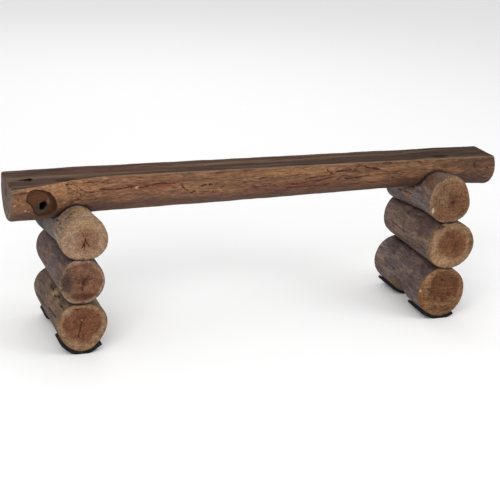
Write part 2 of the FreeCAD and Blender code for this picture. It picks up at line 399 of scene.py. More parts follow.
@dataclass(frozen=True)
class SlabSide(PeeledWood):
    """Finish of the seat's round side, with a dark knot bowl, its rotted hole, a worn upper edge and painted
    shade low on its front.
    """
    knot_dark: Colour = paint(50, 24, 2)
    knot_brown: Colour = paint(92, 56, 32)
    # Near-black inside the rotted hole: painted shade of its depth
    hole: Colour = paint(14, 9, 9)
    worn: Colour = paint(112, 92, 70)
    worn_width: float = 0.0125
    # Colour of the painted shade on the lower front, where it turns down towards the underside
    low: Colour = paint(74, 52, 46)
    right_gain: Colour = (0.76, 0.66, 0.47)
    # Strength and reach of the painted shade at the joints
    joint_shade_strength: float = 0.85
    joint_shade_reach: float = 0.010
    line: float = 0.0024

    # A dull patch in the bowl, and a painted highlight on the chip beside its hole
    bowl_spots = spots(
        (-0.628, -0.085, 0.379, 0.027, 0.08, 0.018, 64, 51, 38, 0.9, 0.7, 0.45),
        (-0.6035, -0.075, 0.401, 0.003, 0.05, 0.0085, 112, 86, 76, 0.8, 0.8, 0.4))

    def marked(self, graph: Graph, colour: Socket) -> Socket:
        """Adds the darker tone towards the right end, painted shade low on the front, the worn edge and the
        knot.

        Args:
            graph: the material's graph.
            colour: the wood's colour.

        Returns:
            The colour with them.
        """
        real = graph.place()
        along = graph.add("ShaderNodeSeparateXYZ", {0: real}).outputs[0]
        colour = graph.shade(colour, graph.mix(graph.step(along, -0.30, 0.65), WHITE, self.right_gain))
        fray = graph.noise(real, 75.0, 4.0, 0.6)
        loose = graph.math("SUBTRACT", fray, 0.5)
        streak = graph.noise(graph.vector("MULTIPLY", real, (0.12, 1.0, 1.0)), 160.0, 3.0)
        edge = graph.math("MULTIPLY_ADD", loose, 0.012, graph.attribute("edge"))
        # A band of painted shade over the lower front and the underside
        below = graph.times(graph.step(edge, 0.060, 0.090), graph.step(edge, 0.17, 0.21, 0.70, 0.0))
        colour = graph.mix(below, colour, self.low)
        shoulder = graph.step(along, -0.680, -0.655, 1.0, 0.0)
        width = graph.math("MULTIPLY_ADD", shoulder, 0.45 * self.worn_width, 0.55 * self.worn_width)
        worn = graph.step(graph.math("DIVIDE", edge, width), 0.55, 1.0, 0.75, 0.0)
        worn = graph.times(worn, graph.math("MAXIMUM", shoulder, graph.step(along, -0.50, -0.42)))
        grey = graph.mix(graph.step(streak, 0.35, 0.65), lighter(self.worn, 0.7), lighter(self.worn, 1.2))
        colour = graph.mix(worn, colour, grey)
        inside = graph.math("MULTIPLY_ADD", loose, 0.007, graph.attribute("knot"))
        swirl = graph.noise(real, 105.0, 4.0, 0.6, 1.2)
        bowl = graph.mix(graph.step(swirl, 0.34, 0.66), lighter(self.knot_brown, 0.58), self.knot_brown)
        bowl = graph.patches(bowl, real, fray, self.bowl_spots)
        wall = graph.math("MULTIPLY_ADD", graph.step(along, -0.640, -0.585), 0.0100, 0.0045)
        wall = graph.step(graph.math("DIVIDE", inside, wall), 0.55, 1.25, 1.0, 0.0)
        bowl = graph.mix(graph.times(wall, 0.92), bowl, self.knot_dark)
        colour = graph.mix(graph.step(inside, -0.0008, 0.0008), colour, bowl)
        # The rotted hole's inside is painted near-black, as its shade
        hole = graph.math("MULTIPLY_ADD", loose, 0.004, graph.attribute("hole"))
        return graph.mix(graph.step(hole, -0.0022, 0.0002), colour, self.hole)


@dataclass(frozen=True)
class SawnTop(Finish):
    """Finish of the sawn and weathered seat: long grain, grey sheen and dark long marks."""
    brown: Colour
    grey: Colour
    dark: Colour
    red: Colour
    spots: tuple[Patch, ...]
    left_gain: Colour
    right_gain: Colour
    seed: float
    # Near-black inside the slot and the rotted hole: painted shade of their depth
    hole: Colour = paint(14, 10, 9)
    reach: tuple[float, float] = (-0.45, 0.55)

    def fill(self, graph: Graph) -> None:
        """Adds the finish's nodes.

        Args:
            graph: the material's graph.
        """
        real = graph.place()
        place = graph.vector("ADD", real, (self.seed, self.seed, 0.0))
        sway = graph.times(graph.noise(place, 4.0, 2.0), 0.05)
        along = graph.vector("ADD", graph.vector("MULTIPLY", place, (0.045, 1.0, 1.0)), graph.join(0.0, sway))
        grain = graph.noise(along, 260.0, 6.0, 0.6)
        band = graph.noise(along, 48.0, 4.0, 0.55)
        patch = graph.noise(graph.vector("MULTIPLY", place, (0.35, 1.0, 1.0)), 9.0, 4.0, 0.6)
        colour = graph.mix(graph.step(patch, 0.38, 0.62), self.brown, self.grey)
        rusty = graph.noise(graph.vector("MULTIPLY", place, (0.10, 1.0, 1.0)), 30.0, 3.0)
        colour = graph.mix(graph.step(rusty, 0.50, 0.64, 0.0, 0.75), colour, self.red)
        colour = graph.mix(graph.step(band, 0.42, 0.62, 0.85, 0.0), colour, self.dark)
        colour = graph.shade(colour, graph.step(grain, 0.3, 0.72, 0.62, 1.34))
        fray = graph.noise(graph.vector("MULTIPLY", place, (0.3, 1.0, 1.0)), 60.0, 3.0)
        colour = graph.patches(colour, real, fray, self.spots)
        share = graph.step(graph.add("ShaderNodeSeparateXYZ", {0: real}).outputs[0], *self.reach)
        colour = graph.shade(colour, graph.mix(share, self.left_gain, self.right_gain))
        # The slot and the hole are painted near-black, as their shade
        hole = graph.math("MULTIPLY_ADD", graph.math("SUBTRACT", fray, 0.5), 0.004, graph.attribute("hole"))
        colour = graph.mix(graph.step(hole, -0.0022, 0.0002), colour, self.hole)
        height = graph.math("ADD", graph.times(grain, 0.6), graph.times(band, 0.4))
        # Painted shade near the top logs in the dark tone, and darker drying checks
        colour = graph.paint_joint_shade_and_checks(colour, self.dark, lighter(self.dark, 0.45), line=0.0030)
        roughness = graph.step(patch, 0.3, 0.7, 0.72, 0.88)
        graph.surface(colour, roughness, height, 0.0011, Specular_IOR_Level=0.10)


@dataclass(frozen=True)
class EndGrain(Finish):
    """Finish of a sawn log end: heartwood, growth rings, sapwood, saw lines and stains."""
    heart: Colour
    heart_dark: Colour
    sap: Colour
    rim: Colour
    heart_share: float
    ring_count: float
    ring_depth: float
    saw_depth: float
    gain: Colour
    seed: float
    spots: tuple[Patch, ...] = ()
    # Colour of the painted shade at the joints
    joint_shade: Colour = paint(40, 25, 20)
    crack: Colour = paint(72, 42, 30)

    def fill(self, graph: Graph) -> None:
        """Adds the finish's nodes.

        Args:
            graph: the material's graph.
        """
        ring = graph.attribute("ring", "Vector")
        flat = graph.attribute("flat", "Vector")
        moved = graph.vector("ADD", ring, (self.seed, self.seed * 1.7, 0.0))
        spread = graph.vector("ADD", flat, (self.seed, self.seed * 1.7, 0.0))
        reach = graph.vector("LENGTH", graph.vector("MULTIPLY", ring, (1.0, 1.0, 0.0)))
        warp = graph.math("SUBTRACT", graph.noise(moved, 1.7, 3.0, 0.5), 0.5)
        fine = graph.math("SUBTRACT", graph.noise(moved, 7.0, 5.0, 0.65), 0.5)
        bent = graph.math("ADD", reach, graph.math("ADD", graph.times(warp, 0.42), graph.times(fine, 0.14)))
        share = self.heart_share
        colour = graph.ramp(bent, [
            (0.0, self.heart_dark), (share * 0.5, self.heart), (share - 0.03, self.heart),
            (min(share + 0.09, 0.92), self.sap), (0.93, self.sap), (1.0, self.rim)])
        colour = graph.patches(colour, graph.vector("MULTIPLY", flat, (1.0, 1.0, 0.0)),
                               graph.noise(spread, 5.5, 6.0, 0.70), self.spots)
        wave = graph.math("SINE", graph.times(bent, self.ring_count * math.tau))
        wave = graph.step(wave, -0.1, 0.95)
        uneven = graph.step(graph.noise(moved, 3.1, 3.0), 0.3, 0.62, 0.25, 1.0)
        rings = graph.times(wave, uneven, self.ring_depth)
        colour = graph.mix(rings, colour, graph.shade(colour, (0.50, 0.42, 0.38)))
        mottle = graph.noise(spread, 4.5, 6.0, 0.70)
        colour = graph.shade(colour, graph.step(mottle, 0.3, 0.70, 0.68, 1.28))
        colour = graph.shade(colour, graph.step(graph.noise(spread, 13.0, 4.0, 0.65), 0.32, 0.68, 0.70, 1.26))
        sawn = graph.noise(graph.vector("MULTIPLY", spread, (0.8, 22.0, 1.0)), 1.5, 3.0, 0.6)
        saw = self.saw_depth
        colour = graph.shade(colour, graph.step(sawn, 0.36, 0.62, 1 - saw, 1 + 0.5 * saw))
        grit = graph.noise(spread, 30.0, 3.0, 0.6)
        colour = graph.mix(graph.step(grit, 0.60, 0.70, 0.0, 0.40), colour, lighter(self.sap, 1.30))
        colour = graph.mix(graph.step(grit, 0.30, 0.39, 0.45, 0.0), colour, lighter(self.heart_dark, 0.6))
        colour = graph.shade(colour, self.gain)
        height = graph.math("ADD", graph.times(sawn, 0.5), graph.times(fine, 0.5))
        height = graph.math("SUBTRACT", height, graph.times(wave, 0.14))
        # Painted shade close to the neighbouring logs, and dark drying checks
        colour = graph.paint_joint_shade_and_checks(colour, self.joint_shade, self.crack, 0.75, 0.005, 0.0017)
        graph.surface(colour, 0.85, height, 0.0010, Specular_IOR_Level=0.15)


@dataclass(frozen=True)
class Rubber(Finish):
    """Finish of the foot pads: black rubber, scuffed grey where it is worn."""
    black: Colour = paint(14, 13, 14)
    scuffed: Colour = paint(48, 46, 47)

    def fill(self, graph: Graph) -> None:
        """Adds the finish's nodes.

        Args:
            graph: the material's graph.
        """
        place = graph.place()
        scuff = graph.noise(place, 60.0, 5.0, 0.7)
        fine = graph.noise(place, 900.0, 3.0)
        colour = graph.mix(graph.step(scuff, 0.5, 0.75), self.black, self.scuffed)
        height = graph.math("ADD", graph.times(fine, 0.5), graph.times(scuff, 0.5))
        graph.surface(colour, graph.step(scuff, 0.3, 0.7, 0.7, 0.9), height, 0.0004, Specular_IOR_Level=0.2)


@dataclass(frozen=True)
class Steel(Finish):
    """Finish of screws, washers and nails: dull zinc with brown spots."""
    colour: Colour = (0.42, 0.42, 0.43)
    rust: Colour = (0.16, 0.075, 0.035)
    rust_share: float = 0.3

    def fill(self, graph: Graph) -> None:
        """Adds the finish's nodes.

        Args:
            graph: the material's graph.
        """
        place = graph.place()
        cloud = graph.noise(place, 210.0, 5.0, 0.65)
        scratch = graph.noise(graph.vector("MULTIPLY", place, (1.0, 1.0, 0.1)), 1500.0, 2.0)
        rusty = graph.step(cloud, 0.66 - 0.2 * self.rust_share, 0.74 - 0.2 * self.rust_share)
        colour = graph.mix(rusty, self.colour, self.rust)
        graph.surface(colour, graph.step(cloud, 0.3, 0.7, 0.35, 0.6), scratch, 0.00008, Metallic=0.85)


@dataclass(frozen=True)
class Paper(Finish):
    """Finish of the studio's floor: plain pale paper with a fine tooth."""
    tone: float = 0.96

    def fill(self, graph: Graph) -> None:
        """Adds the finish's nodes to a graph."""
        graph.surface((self.tone,) * 3, 0.9, graph.noise(graph.place(), 400.0, 3.0), 0.0002)


class ShapeTree:
    """A Geometry Nodes tree that reshapes pieces, with the kinds of its inputs by name."""
    name: str
    kinds: dict[str, str]

    def __init__(self) -> None:
        """Builds the tree once, for all pieces."""
        self.tree = bpy.data.node_groups.new(self.name, "GeometryNodeTree")
        interface = self.tree.interface
        for name, kind in {"Geometry": "Geometry", **self.kinds}.items():
            interface.new_socket(name, in_out="INPUT", socket_type="NodeSocket" + kind)
        interface.new_socket("Geometry", in_out="OUTPUT", socket_type="NodeSocketGeometry")
        graph = Graph(self.tree)
        graph.add("NodeGroupOutput", {"Geometry": self.shape(graph, graph.add("NodeGroupInput").outputs)})

    def shape(self, graph: Graph, given: bpy.types.bpy_prop_collection) -> Socket:
        """Adds the nodes that turn the given inputs into a geometry; every tree has its own."""
        raise NotImplementedError

    def apply(self, piece: Object, values: dict[str, object]) -> None:
        """Runs the tree on a piece through a modifier and keeps the result as its plain mesh.

        Args:
            piece: the object.
            values: input name to value.
        """
        modifier = piece.modifiers.new("shape", "NODES")
        modifier.node_group = self.tree
        items = self.tree.interface.items_tree
        sockets = {item.name: item.identifier for item in items if item.in_out == "INPUT"}
        for name, value in values.items():
            modifier[sockets[name]] = value
        evaluated = piece.evaluated_get(bpy.context.evaluated_depsgraph_get())
        mesh = bpy.data.meshes.new_from_object(evaluated)
        piece.modifiers.remove(modifier)
        old, piece.data = piece.data, mesh
        bpy.data.meshes.remove(old)
        mesh.name = piece.name


class WeatherTree(ShapeTree):
    """The tree that roughens a wooden piece and carves its drying checks."""
    name = "weathered_wood"
    kinds = {
        "Lump Depth": "Float", "Lump Scale": "Float", "Ridge Depth": "Float", "Ridge Scale": "Float",
        "Ridge Stretch": "Vector", "Level": "Float", "Seed": "Float", "Checks": "Object",
        "Check Width": "Float", "Check Depth": "Float", **{zone.label: "Material" for zone in Zone}}

    def shape(self, graph: Graph, given: bpy.types.bpy_prop_collection) -> Socket:
        """Adds the nodes.

        Args:
            graph: the tree's graph.
            given: the tree's inputs.

        Returns:
            The weathered geometry.
        """
        place = graph.add("GeometryNodeInputPosition").outputs[0]
        moved = graph.vector("ADD", place, graph.join(given["Seed"], given["Seed"]))
        stretched = graph.vector("MULTIPLY", moved, given["Ridge Stretch"])
        rough = []
        for name, where, distortion in (("Lump", moved, 0.0), ("Ridge", stretched, 0.4)):
            noise = graph.add("ShaderNodeTexNoise", {"Vector": where, "Scale": given[name + " Scale"],
                                                     "Detail": 3.0, "Distortion": distortion}).outputs[0]
            rough.append(graph.times(graph.math("SUBTRACT", noise, given["Level"]), given[name + " Depth"]))
        lines = graph.add("GeometryNodeObjectInfo", {"Object": given["Checks"]}, transform_space="RELATIVE")
        near = graph.add("GeometryNodeProximity", {"Geometry": lines.outputs["Geometry"]},
                         target_element="EDGES").outputs["Distance"]
        width = graph.times(given["Check Width"], graph.math("ADD", graph.noise(place, 120.0, 2.0), 0.5))
        check = graph.add("ShaderNodeMapRange", {0: near, 1: width, 2: 0.0, 3: 0.0, 4: 1.0}).outputs[0]
        carve = graph.times(graph.math("POWER", check, 1.5), given["Check Depth"])
        keep = graph.add("GeometryNodeInputNamedAttribute", {"Name": "bedded"}, data_type="FLOAT").outputs[0]
        free = graph.math("SUBTRACT", 1.0, keep, clamp=True)
        move = graph.math("SUBTRACT", graph.times(graph.math("ADD", *rough), free), carve)
        normal = graph.add("GeometryNodeInputNormal").outputs[0]
        offset = graph.add("ShaderNodeVectorMath", {0: normal, "Scale": move}, operation="SCALE").outputs[0]
        marked = graph.add("GeometryNodeStoreNamedAttribute", {
            "Geometry": given["Geometry"], "Name": "check", "Value": near}, data_type="FLOAT", domain="POINT")
        carved = graph.add("GeometryNodeSetPosition", {"Geometry": marked.outputs[0], "Offset": offset})
        shown = graph.add("GeometryNodeRealizeInstances", {"Geometry": carved.outputs[0]}).outputs[0]
        part = graph.add("GeometryNodeInputNamedAttribute", {"Name": "zone"}, data_type="INT").outputs[0]
        for zone in Zone:
            chosen = graph.add("FunctionNodeCompare", {2: part, 3: int(zone)}, data_type="INT",
                               operation="EQUAL")
            shown = graph.add("GeometryNodeSetMaterial", {
                "Geometry": shown, "Selection": chosen.outputs[0], "Material": given[zone.label]}).outputs[0]
        return shown


class NailTree(ShapeTree):
    """The tree that stands a nail head on every point of a piece, along the way stored there."""
    name = "pad_nails"
    kinds = {"Head Radius": "Float", "Head Height": "Float", "Material": "Material", "Seed": "Int"}

    def shape(self, graph: Graph, given: bpy.types.bpy_prop_collection) -> Socket:
        """Adds the nodes.

        Args:
            graph: the tree's graph.
            given: the tree's inputs.

        Returns:
            The nail heads.
        """
        top = graph.times(given["Head Radius"], 0.72)
        head = graph.add("GeometryNodeMeshCone", {
            "Vertices": 20, "Side Segments": 2, "Depth": given["Head Height"],
            "Radius Bottom": given["Head Radius"], "Radius Top": top})
        way = graph.add("GeometryNodeInputNamedAttribute", {"Name": "way"}, data_type="FLOAT_VECTOR")
        turn = graph.add("FunctionNodeAlignRotationToVector", {"Vector": way.outputs[0]}, axis="Z")
        size = graph.add("FunctionNodeRandomValue", {2: 0.92, 3: 1.06, "Seed": given["Seed"]},
                         data_type="FLOAT")
        nails = graph.add("GeometryNodeInstanceOnPoints", {
            "Points": given["Geometry"], "Instance": head.outputs["Mesh"], "Rotation": turn.outputs[0],
            "Scale": size.outputs[1]})
        real = graph.add("GeometryNodeRealizeInstances", {"Geometry": nails.outputs[0]})
        return graph.add("GeometryNodeSetMaterial", {
            "Geometry": real.outputs[0], "Material": given["Material"]}).outputs[0]


def stack(*parts: Array) -> Array:
    """Puts coordinates side by side, as the last axis of one array."""
    return np.stack(np.broadcast_arrays(*parts), axis=-1)


def mesh_object(name: str, points: Array, faces: Iterable[Sequence[int]] = (),
                edges: Sequence[tuple[int, int]] = ()) -> Object:
    """Makes a mesh object at the origin.

    Args:
        name: object and mesh name.
        points: vertex places, one row each.
        faces: vertex numbers of each face.
        edges: vertex numbers of each loose edge.

    Returns:
        The linked object.
    """
    mesh = bpy.data.meshes.new(name)
    mesh.from_pydata(points.tolist(), edges, [tuple(face) for face in faces])
    piece = bpy.data.objects.new(name, mesh)
    bpy.context.scene.collection.objects.link(piece)
    return piece


def tube_faces(rows: int, columns: int) -> tuple[list[tuple[int, ...]], Array]:
    """Joins rows of points, and a last point in the middle of either end, into a closed body.

    Args:
        rows: how many rows there are.
        columns: how many points a row has.

    Returns:
        The faces and, for each face, its row, which is -1 or the row count at an end's middle.
    """
    count = rows * columns
    around = [(column, (column + 1) % columns) for column in range(columns)]
    faces = [(row + a, row + b, row + columns + b, row + columns + a)
             for row in range(0, count - columns, columns) for a, b in around]
    last = count - columns
    for a, b in around:
        faces += [(count, b, a), (count + 1, last + a, last + b)]
    return faces, np.concatenate([np.repeat(np.arange(rows - 1), columns), np.tile([-1, rows], columns)])


def store(piece: Object, name: str, values: Array, domain: str = "POINT") -> None:
    """Writes an attribute of a mesh.

    Args:
        piece: the mesh's object.
        name: attribute name.
        values: one whole number, number or row of three per element.
        domain: POINT or FACE.
    """
    kind = "INT" if values.dtype == np.int32 else "FLOAT" if values.ndim == 1 else "FLOAT_VECTOR"
    attribute = piece.data.attributes.new(name, kind, domain)
    attribute.data.foreach_set("value" if values.ndim == 1 else "vector", values.ravel())


def wander(points: Array, amount: float, rng: np.random.Generator, pieces: int = 6) -> Array:
    """Divides a line and shakes its inner points, as a crack wanders.

    Args:
        points: the line's corners.
        amount: how far a point may move, in metres.
        rng: seeded generator.
        pieces: how many pieces each run is divided into.

    Returns:
        The longer list of points.
    """
    shares = np.linspace(0, 1, pieces + 1)[1:, None]
    line = np.vstack([points[:1], *(a + (b - a) * shares for a, b in zip(points, points[1:]))])
    line[1:-1] += rng.normal(0, amount, line[1:-1].shape)
    return line


def depth_inside(u: Array, v: Array, outline: Path) -> Array:
    """Distance from each place to the edge of an outline, positive inside it.

    Args:
        u, v: coordinates of each place.
        outline: the corners.

    Returns:
        The distances.
    """
    inside = np.zeros(u.shape, dtype=bool)
    nearest = np.full(u.shape, np.inf)
    for (au, av), (bu, bv) in zip(outline, outline[1:] + outline[:1]):
        run_u, run_v = bu - au, bv - av
        share = np.clip(((u - au) * run_u + (v - av) * run_v) / (run_u ** 2 + run_v ** 2), 0, 1)
        nearest = np.minimum(nearest, np.hypot(u - au - share * run_u, v - av - share * run_v))
        if run_v:
            inside ^= ((av > v) != (bv > v)) & (u < run_u * (v - av) / run_v + au)
    return np.where(inside, nearest, -nearest)


def finish_piece(piece: Object, slot: str, node: str | None = None) -> None:
    """Keeps a piece within its node's box, shades it smoothly and hangs it on the frame.

    Args:
        piece: the finished object.
        slot: the record's material slot.
        node: the node that it stands for.
    """
    if node:
        low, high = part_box(node)
        places = np.empty(len(piece.data.vertices) * 3)
        piece.data.vertices.foreach_get("co", places)
        places = np.clip(places.reshape(-1, 3), np.array(low), np.array(high))
        piece.data.vertices.foreach_set("co", places.ravel())
    piece.data.shade_smooth()
    piece.data.set_sharp_from_angle(angle=SHARP_ANGLE)
    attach(piece, "root")
    if node:
        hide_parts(node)
    log.info("%s: %d faces, slot %s", piece.name, len(piece.data.polygons), slot)


class WoodenPiece:
    """A closed body of rows of points, weathered and hung on the frame; its finishes are in Zone's order."""
    node: str
    slot: str
    finishes: tuple[Finish, ...]
    seed: int
    look: dict[str, object]

    def clear(self, x: Array, y: Array, z: Array) -> Array:
        """Distance from each point to the piece's surface; every piece has its own."""
        raise NotImplementedError

    def checks(self) -> list[Array]:
        """The lines of the drying checks; every piece has its own."""
        raise NotImplementedError

    def dress(self, tree: WeatherTree, points: Array, rows: int, cap: int, sawn: int, marks: dict[str, Array],
              neighbours: Sequence["WoodenPiece"]) -> Object:
        """Makes the piece from its points.

        Args:
            tree: the tree that weathers it.
            points: the rows' points, then the middles of both ends.
            rows: how many rows there are.
            cap: how many rows of faces belong to either end.
            sawn: the column from which the faces are the sawn top's.
            marks: a value or a row for each point, by attribute name.
            neighbours: the pieces that touch it.

        Returns:
            The finished piece.
        """
        columns = (len(points) - 2) // rows
        faces, where = tube_faces(rows, columns)
        side = np.where(np.arange(len(where)) % columns < sawn, Zone.SIDE, Zone.SAWN)
        zones = np.where((where < cap) | (where >= rows - 1 - cap), Zone.END, side).astype(np.int32)
        piece = mesh_object(self.node + "_wood", points, faces)
        store(piece, "zone", zones, "FACE")
        # Distance to the nearest neighbour, which the finishes turn into painted shade
        gap = np.min([other.clear(*points.T) for other in neighbours], axis=0)
        for name, values in {**marks, "gap": np.clip(gap, 0, GAP_REACH)}.items():
            store(piece, name, values)
        shell = bmesh.new()
        shell.from_mesh(piece.data)
        bmesh.ops.recalc_face_normals(shell, faces=shell.faces)
        shell.to_mesh(piece.data)
        shell.free()
        lines = self.checks()
        starts = set(np.cumsum([len(line) for line in lines]).tolist())
        edges = [(k, k + 1) for k in range(max(starts)) if k + 1 not in starts]
        checks = mesh_object(self.node + "_checks", np.vstack(lines), edges=edges)
        materials = {zone.label: finish.material() for zone, finish in zip(Zone, self.finishes)}
        tree.apply(piece, {**self.look, **materials, "Seed": float(self.seed), "Checks": checks})
        bpy.data.objects.remove(checks)
        finish_piece(piece, self.slot, self.node)
        return piece


@dataclass(frozen=True)
class LogShape:
    """The shares by which a log's section differs from a circle and changes along it, as in its node."""
    node: str
    oval: float = 0.0
    egg: float = 0.0
    lobe: float = 0.0
    brow: float = 0.0
    flare: float = 0.0
    back_shift: float = 0.0
    back_drop: float = 0.0

    def unit(self, turn: Array) -> Array:
        """Reach of the plain section at each turn, for a radius of one."""
        shape = 1 - self.oval * np.cos(2 * turn) + self.egg * np.cos(3 * turn)
        return shape + self.lobe * np.sin(4 * turn) + self.brow * np.sin(3 * turn)


@dataclass(frozen=True)
class Counterbore:
    """The round mouth of a screw hole, open to below."""
    x: float
    y: float
    radius: float
    ledge: float
    snap: float = 0.0011
    clearance: float = 0.0004

    @classmethod
    def of(cls, place: str) -> "Counterbore":
        """Works a mouth out from the box of its washer.

        Args:
            place: the corner of the bench that it lies at.

        Returns:
            The mouth.
        """
        low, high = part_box(place + "_washer")
        middle = (low + high) / 2
        return cls(middle.x, middle.y, (high.x - low.x) / math.sqrt(2) + cls.clearance, high.z)

    def drill(self, x: Array, y: Array, z: Array, below: Array) -> tuple[Array, ...]:
        """Lifts the points inside the mouth to its ledge and draws those near its rim onto it.

        Args:
            x, y, z: coordinates of each point.
            below: whether a point lies on the log's underside.

        Returns:
            The new X, Y and Z.
        """
        apart = np.maximum(np.hypot(x - self.x, y - self.y), 1e-6)
        rim = below & (np.abs(apart - self.radius) < self.snap)
        grow = np.where(rim, self.radius / apart, 1.0)
        z = np.where(below & (apart < self.radius), self.ledge, z)
        return self.x + (x - self.x) * grow, self.y + (y - self.y) * grow, z


@dataclass(frozen=True)
class Arch:
    """The hollow through the underside of the right bottom log, in metres."""
    width: float = 0.092
    height: float = 0.070
    flare: float = 0.012
    wall_rows: int = 60
    bend: float = 0.040
    bend_width: float = 0.058

    def half(self, x: Array, carrier: "LegLog") -> Array:
        """Half the arch's width at each X, wider at the log's flanks."""
        out = (np.abs(x - carrier.x) - carrier.radius + 2 * self.flare) / (3 * self.flare)
        return self.width / 2 + 1.5 * self.flare * np.clip(out, 0, 1.2)

    def rows(self, barrel: Array) -> Array:
        """Crowds the barrel's rows where the arch's walls are steep.

        Args:
            barrel: Y of the rows.

        Returns:
            Y of the new rows.
        """
        turns = np.linspace(-math.pi / 2, math.pi / 2, self.wall_rows)
        walls = (self.width / 2 + self.flare * 0.75) * np.sin(turns)
        return np.unique(np.round(np.concatenate([barrel[np.abs(barrel) > self.width * 0.62], walls]), 5))

    def lift(self, x: Array, y: Array, z: Array, carrier: "LegLog") -> Array:
        """Lifts the underside to the arch's roof.

        Args:
            x, y, z: coordinates of each point.
            carrier: the log that the arch goes through.

        Returns:
            The new Z of each point.
        """
        half = self.half(x, carrier)
        roof = carrier.base + self.height - self.width / 2 + np.sqrt(np.clip(half ** 2 - y ** 2, 0, None))
        roof = np.minimum(roof, carrier.heart(y)[1] - 0.001)
        return np.where((np.abs(y) < half) & (z < roof), roof, z)

    def flow(self, y: Array, z: Array, heart: float) -> Array:
        """How the fibres bend down round the arch.

        Args:
            y, z: coordinates of each point.
            heart: Z of the log's heart.

        Returns:
            The fibres' shift at each point.
        """
        near = self.bend * np.exp(-(y / self.bend_width) ** 2)
        return stack(np.zeros_like(y), 0.0, -near * np.clip((heart + 0.03 - z) / 0.06, 0, 1))


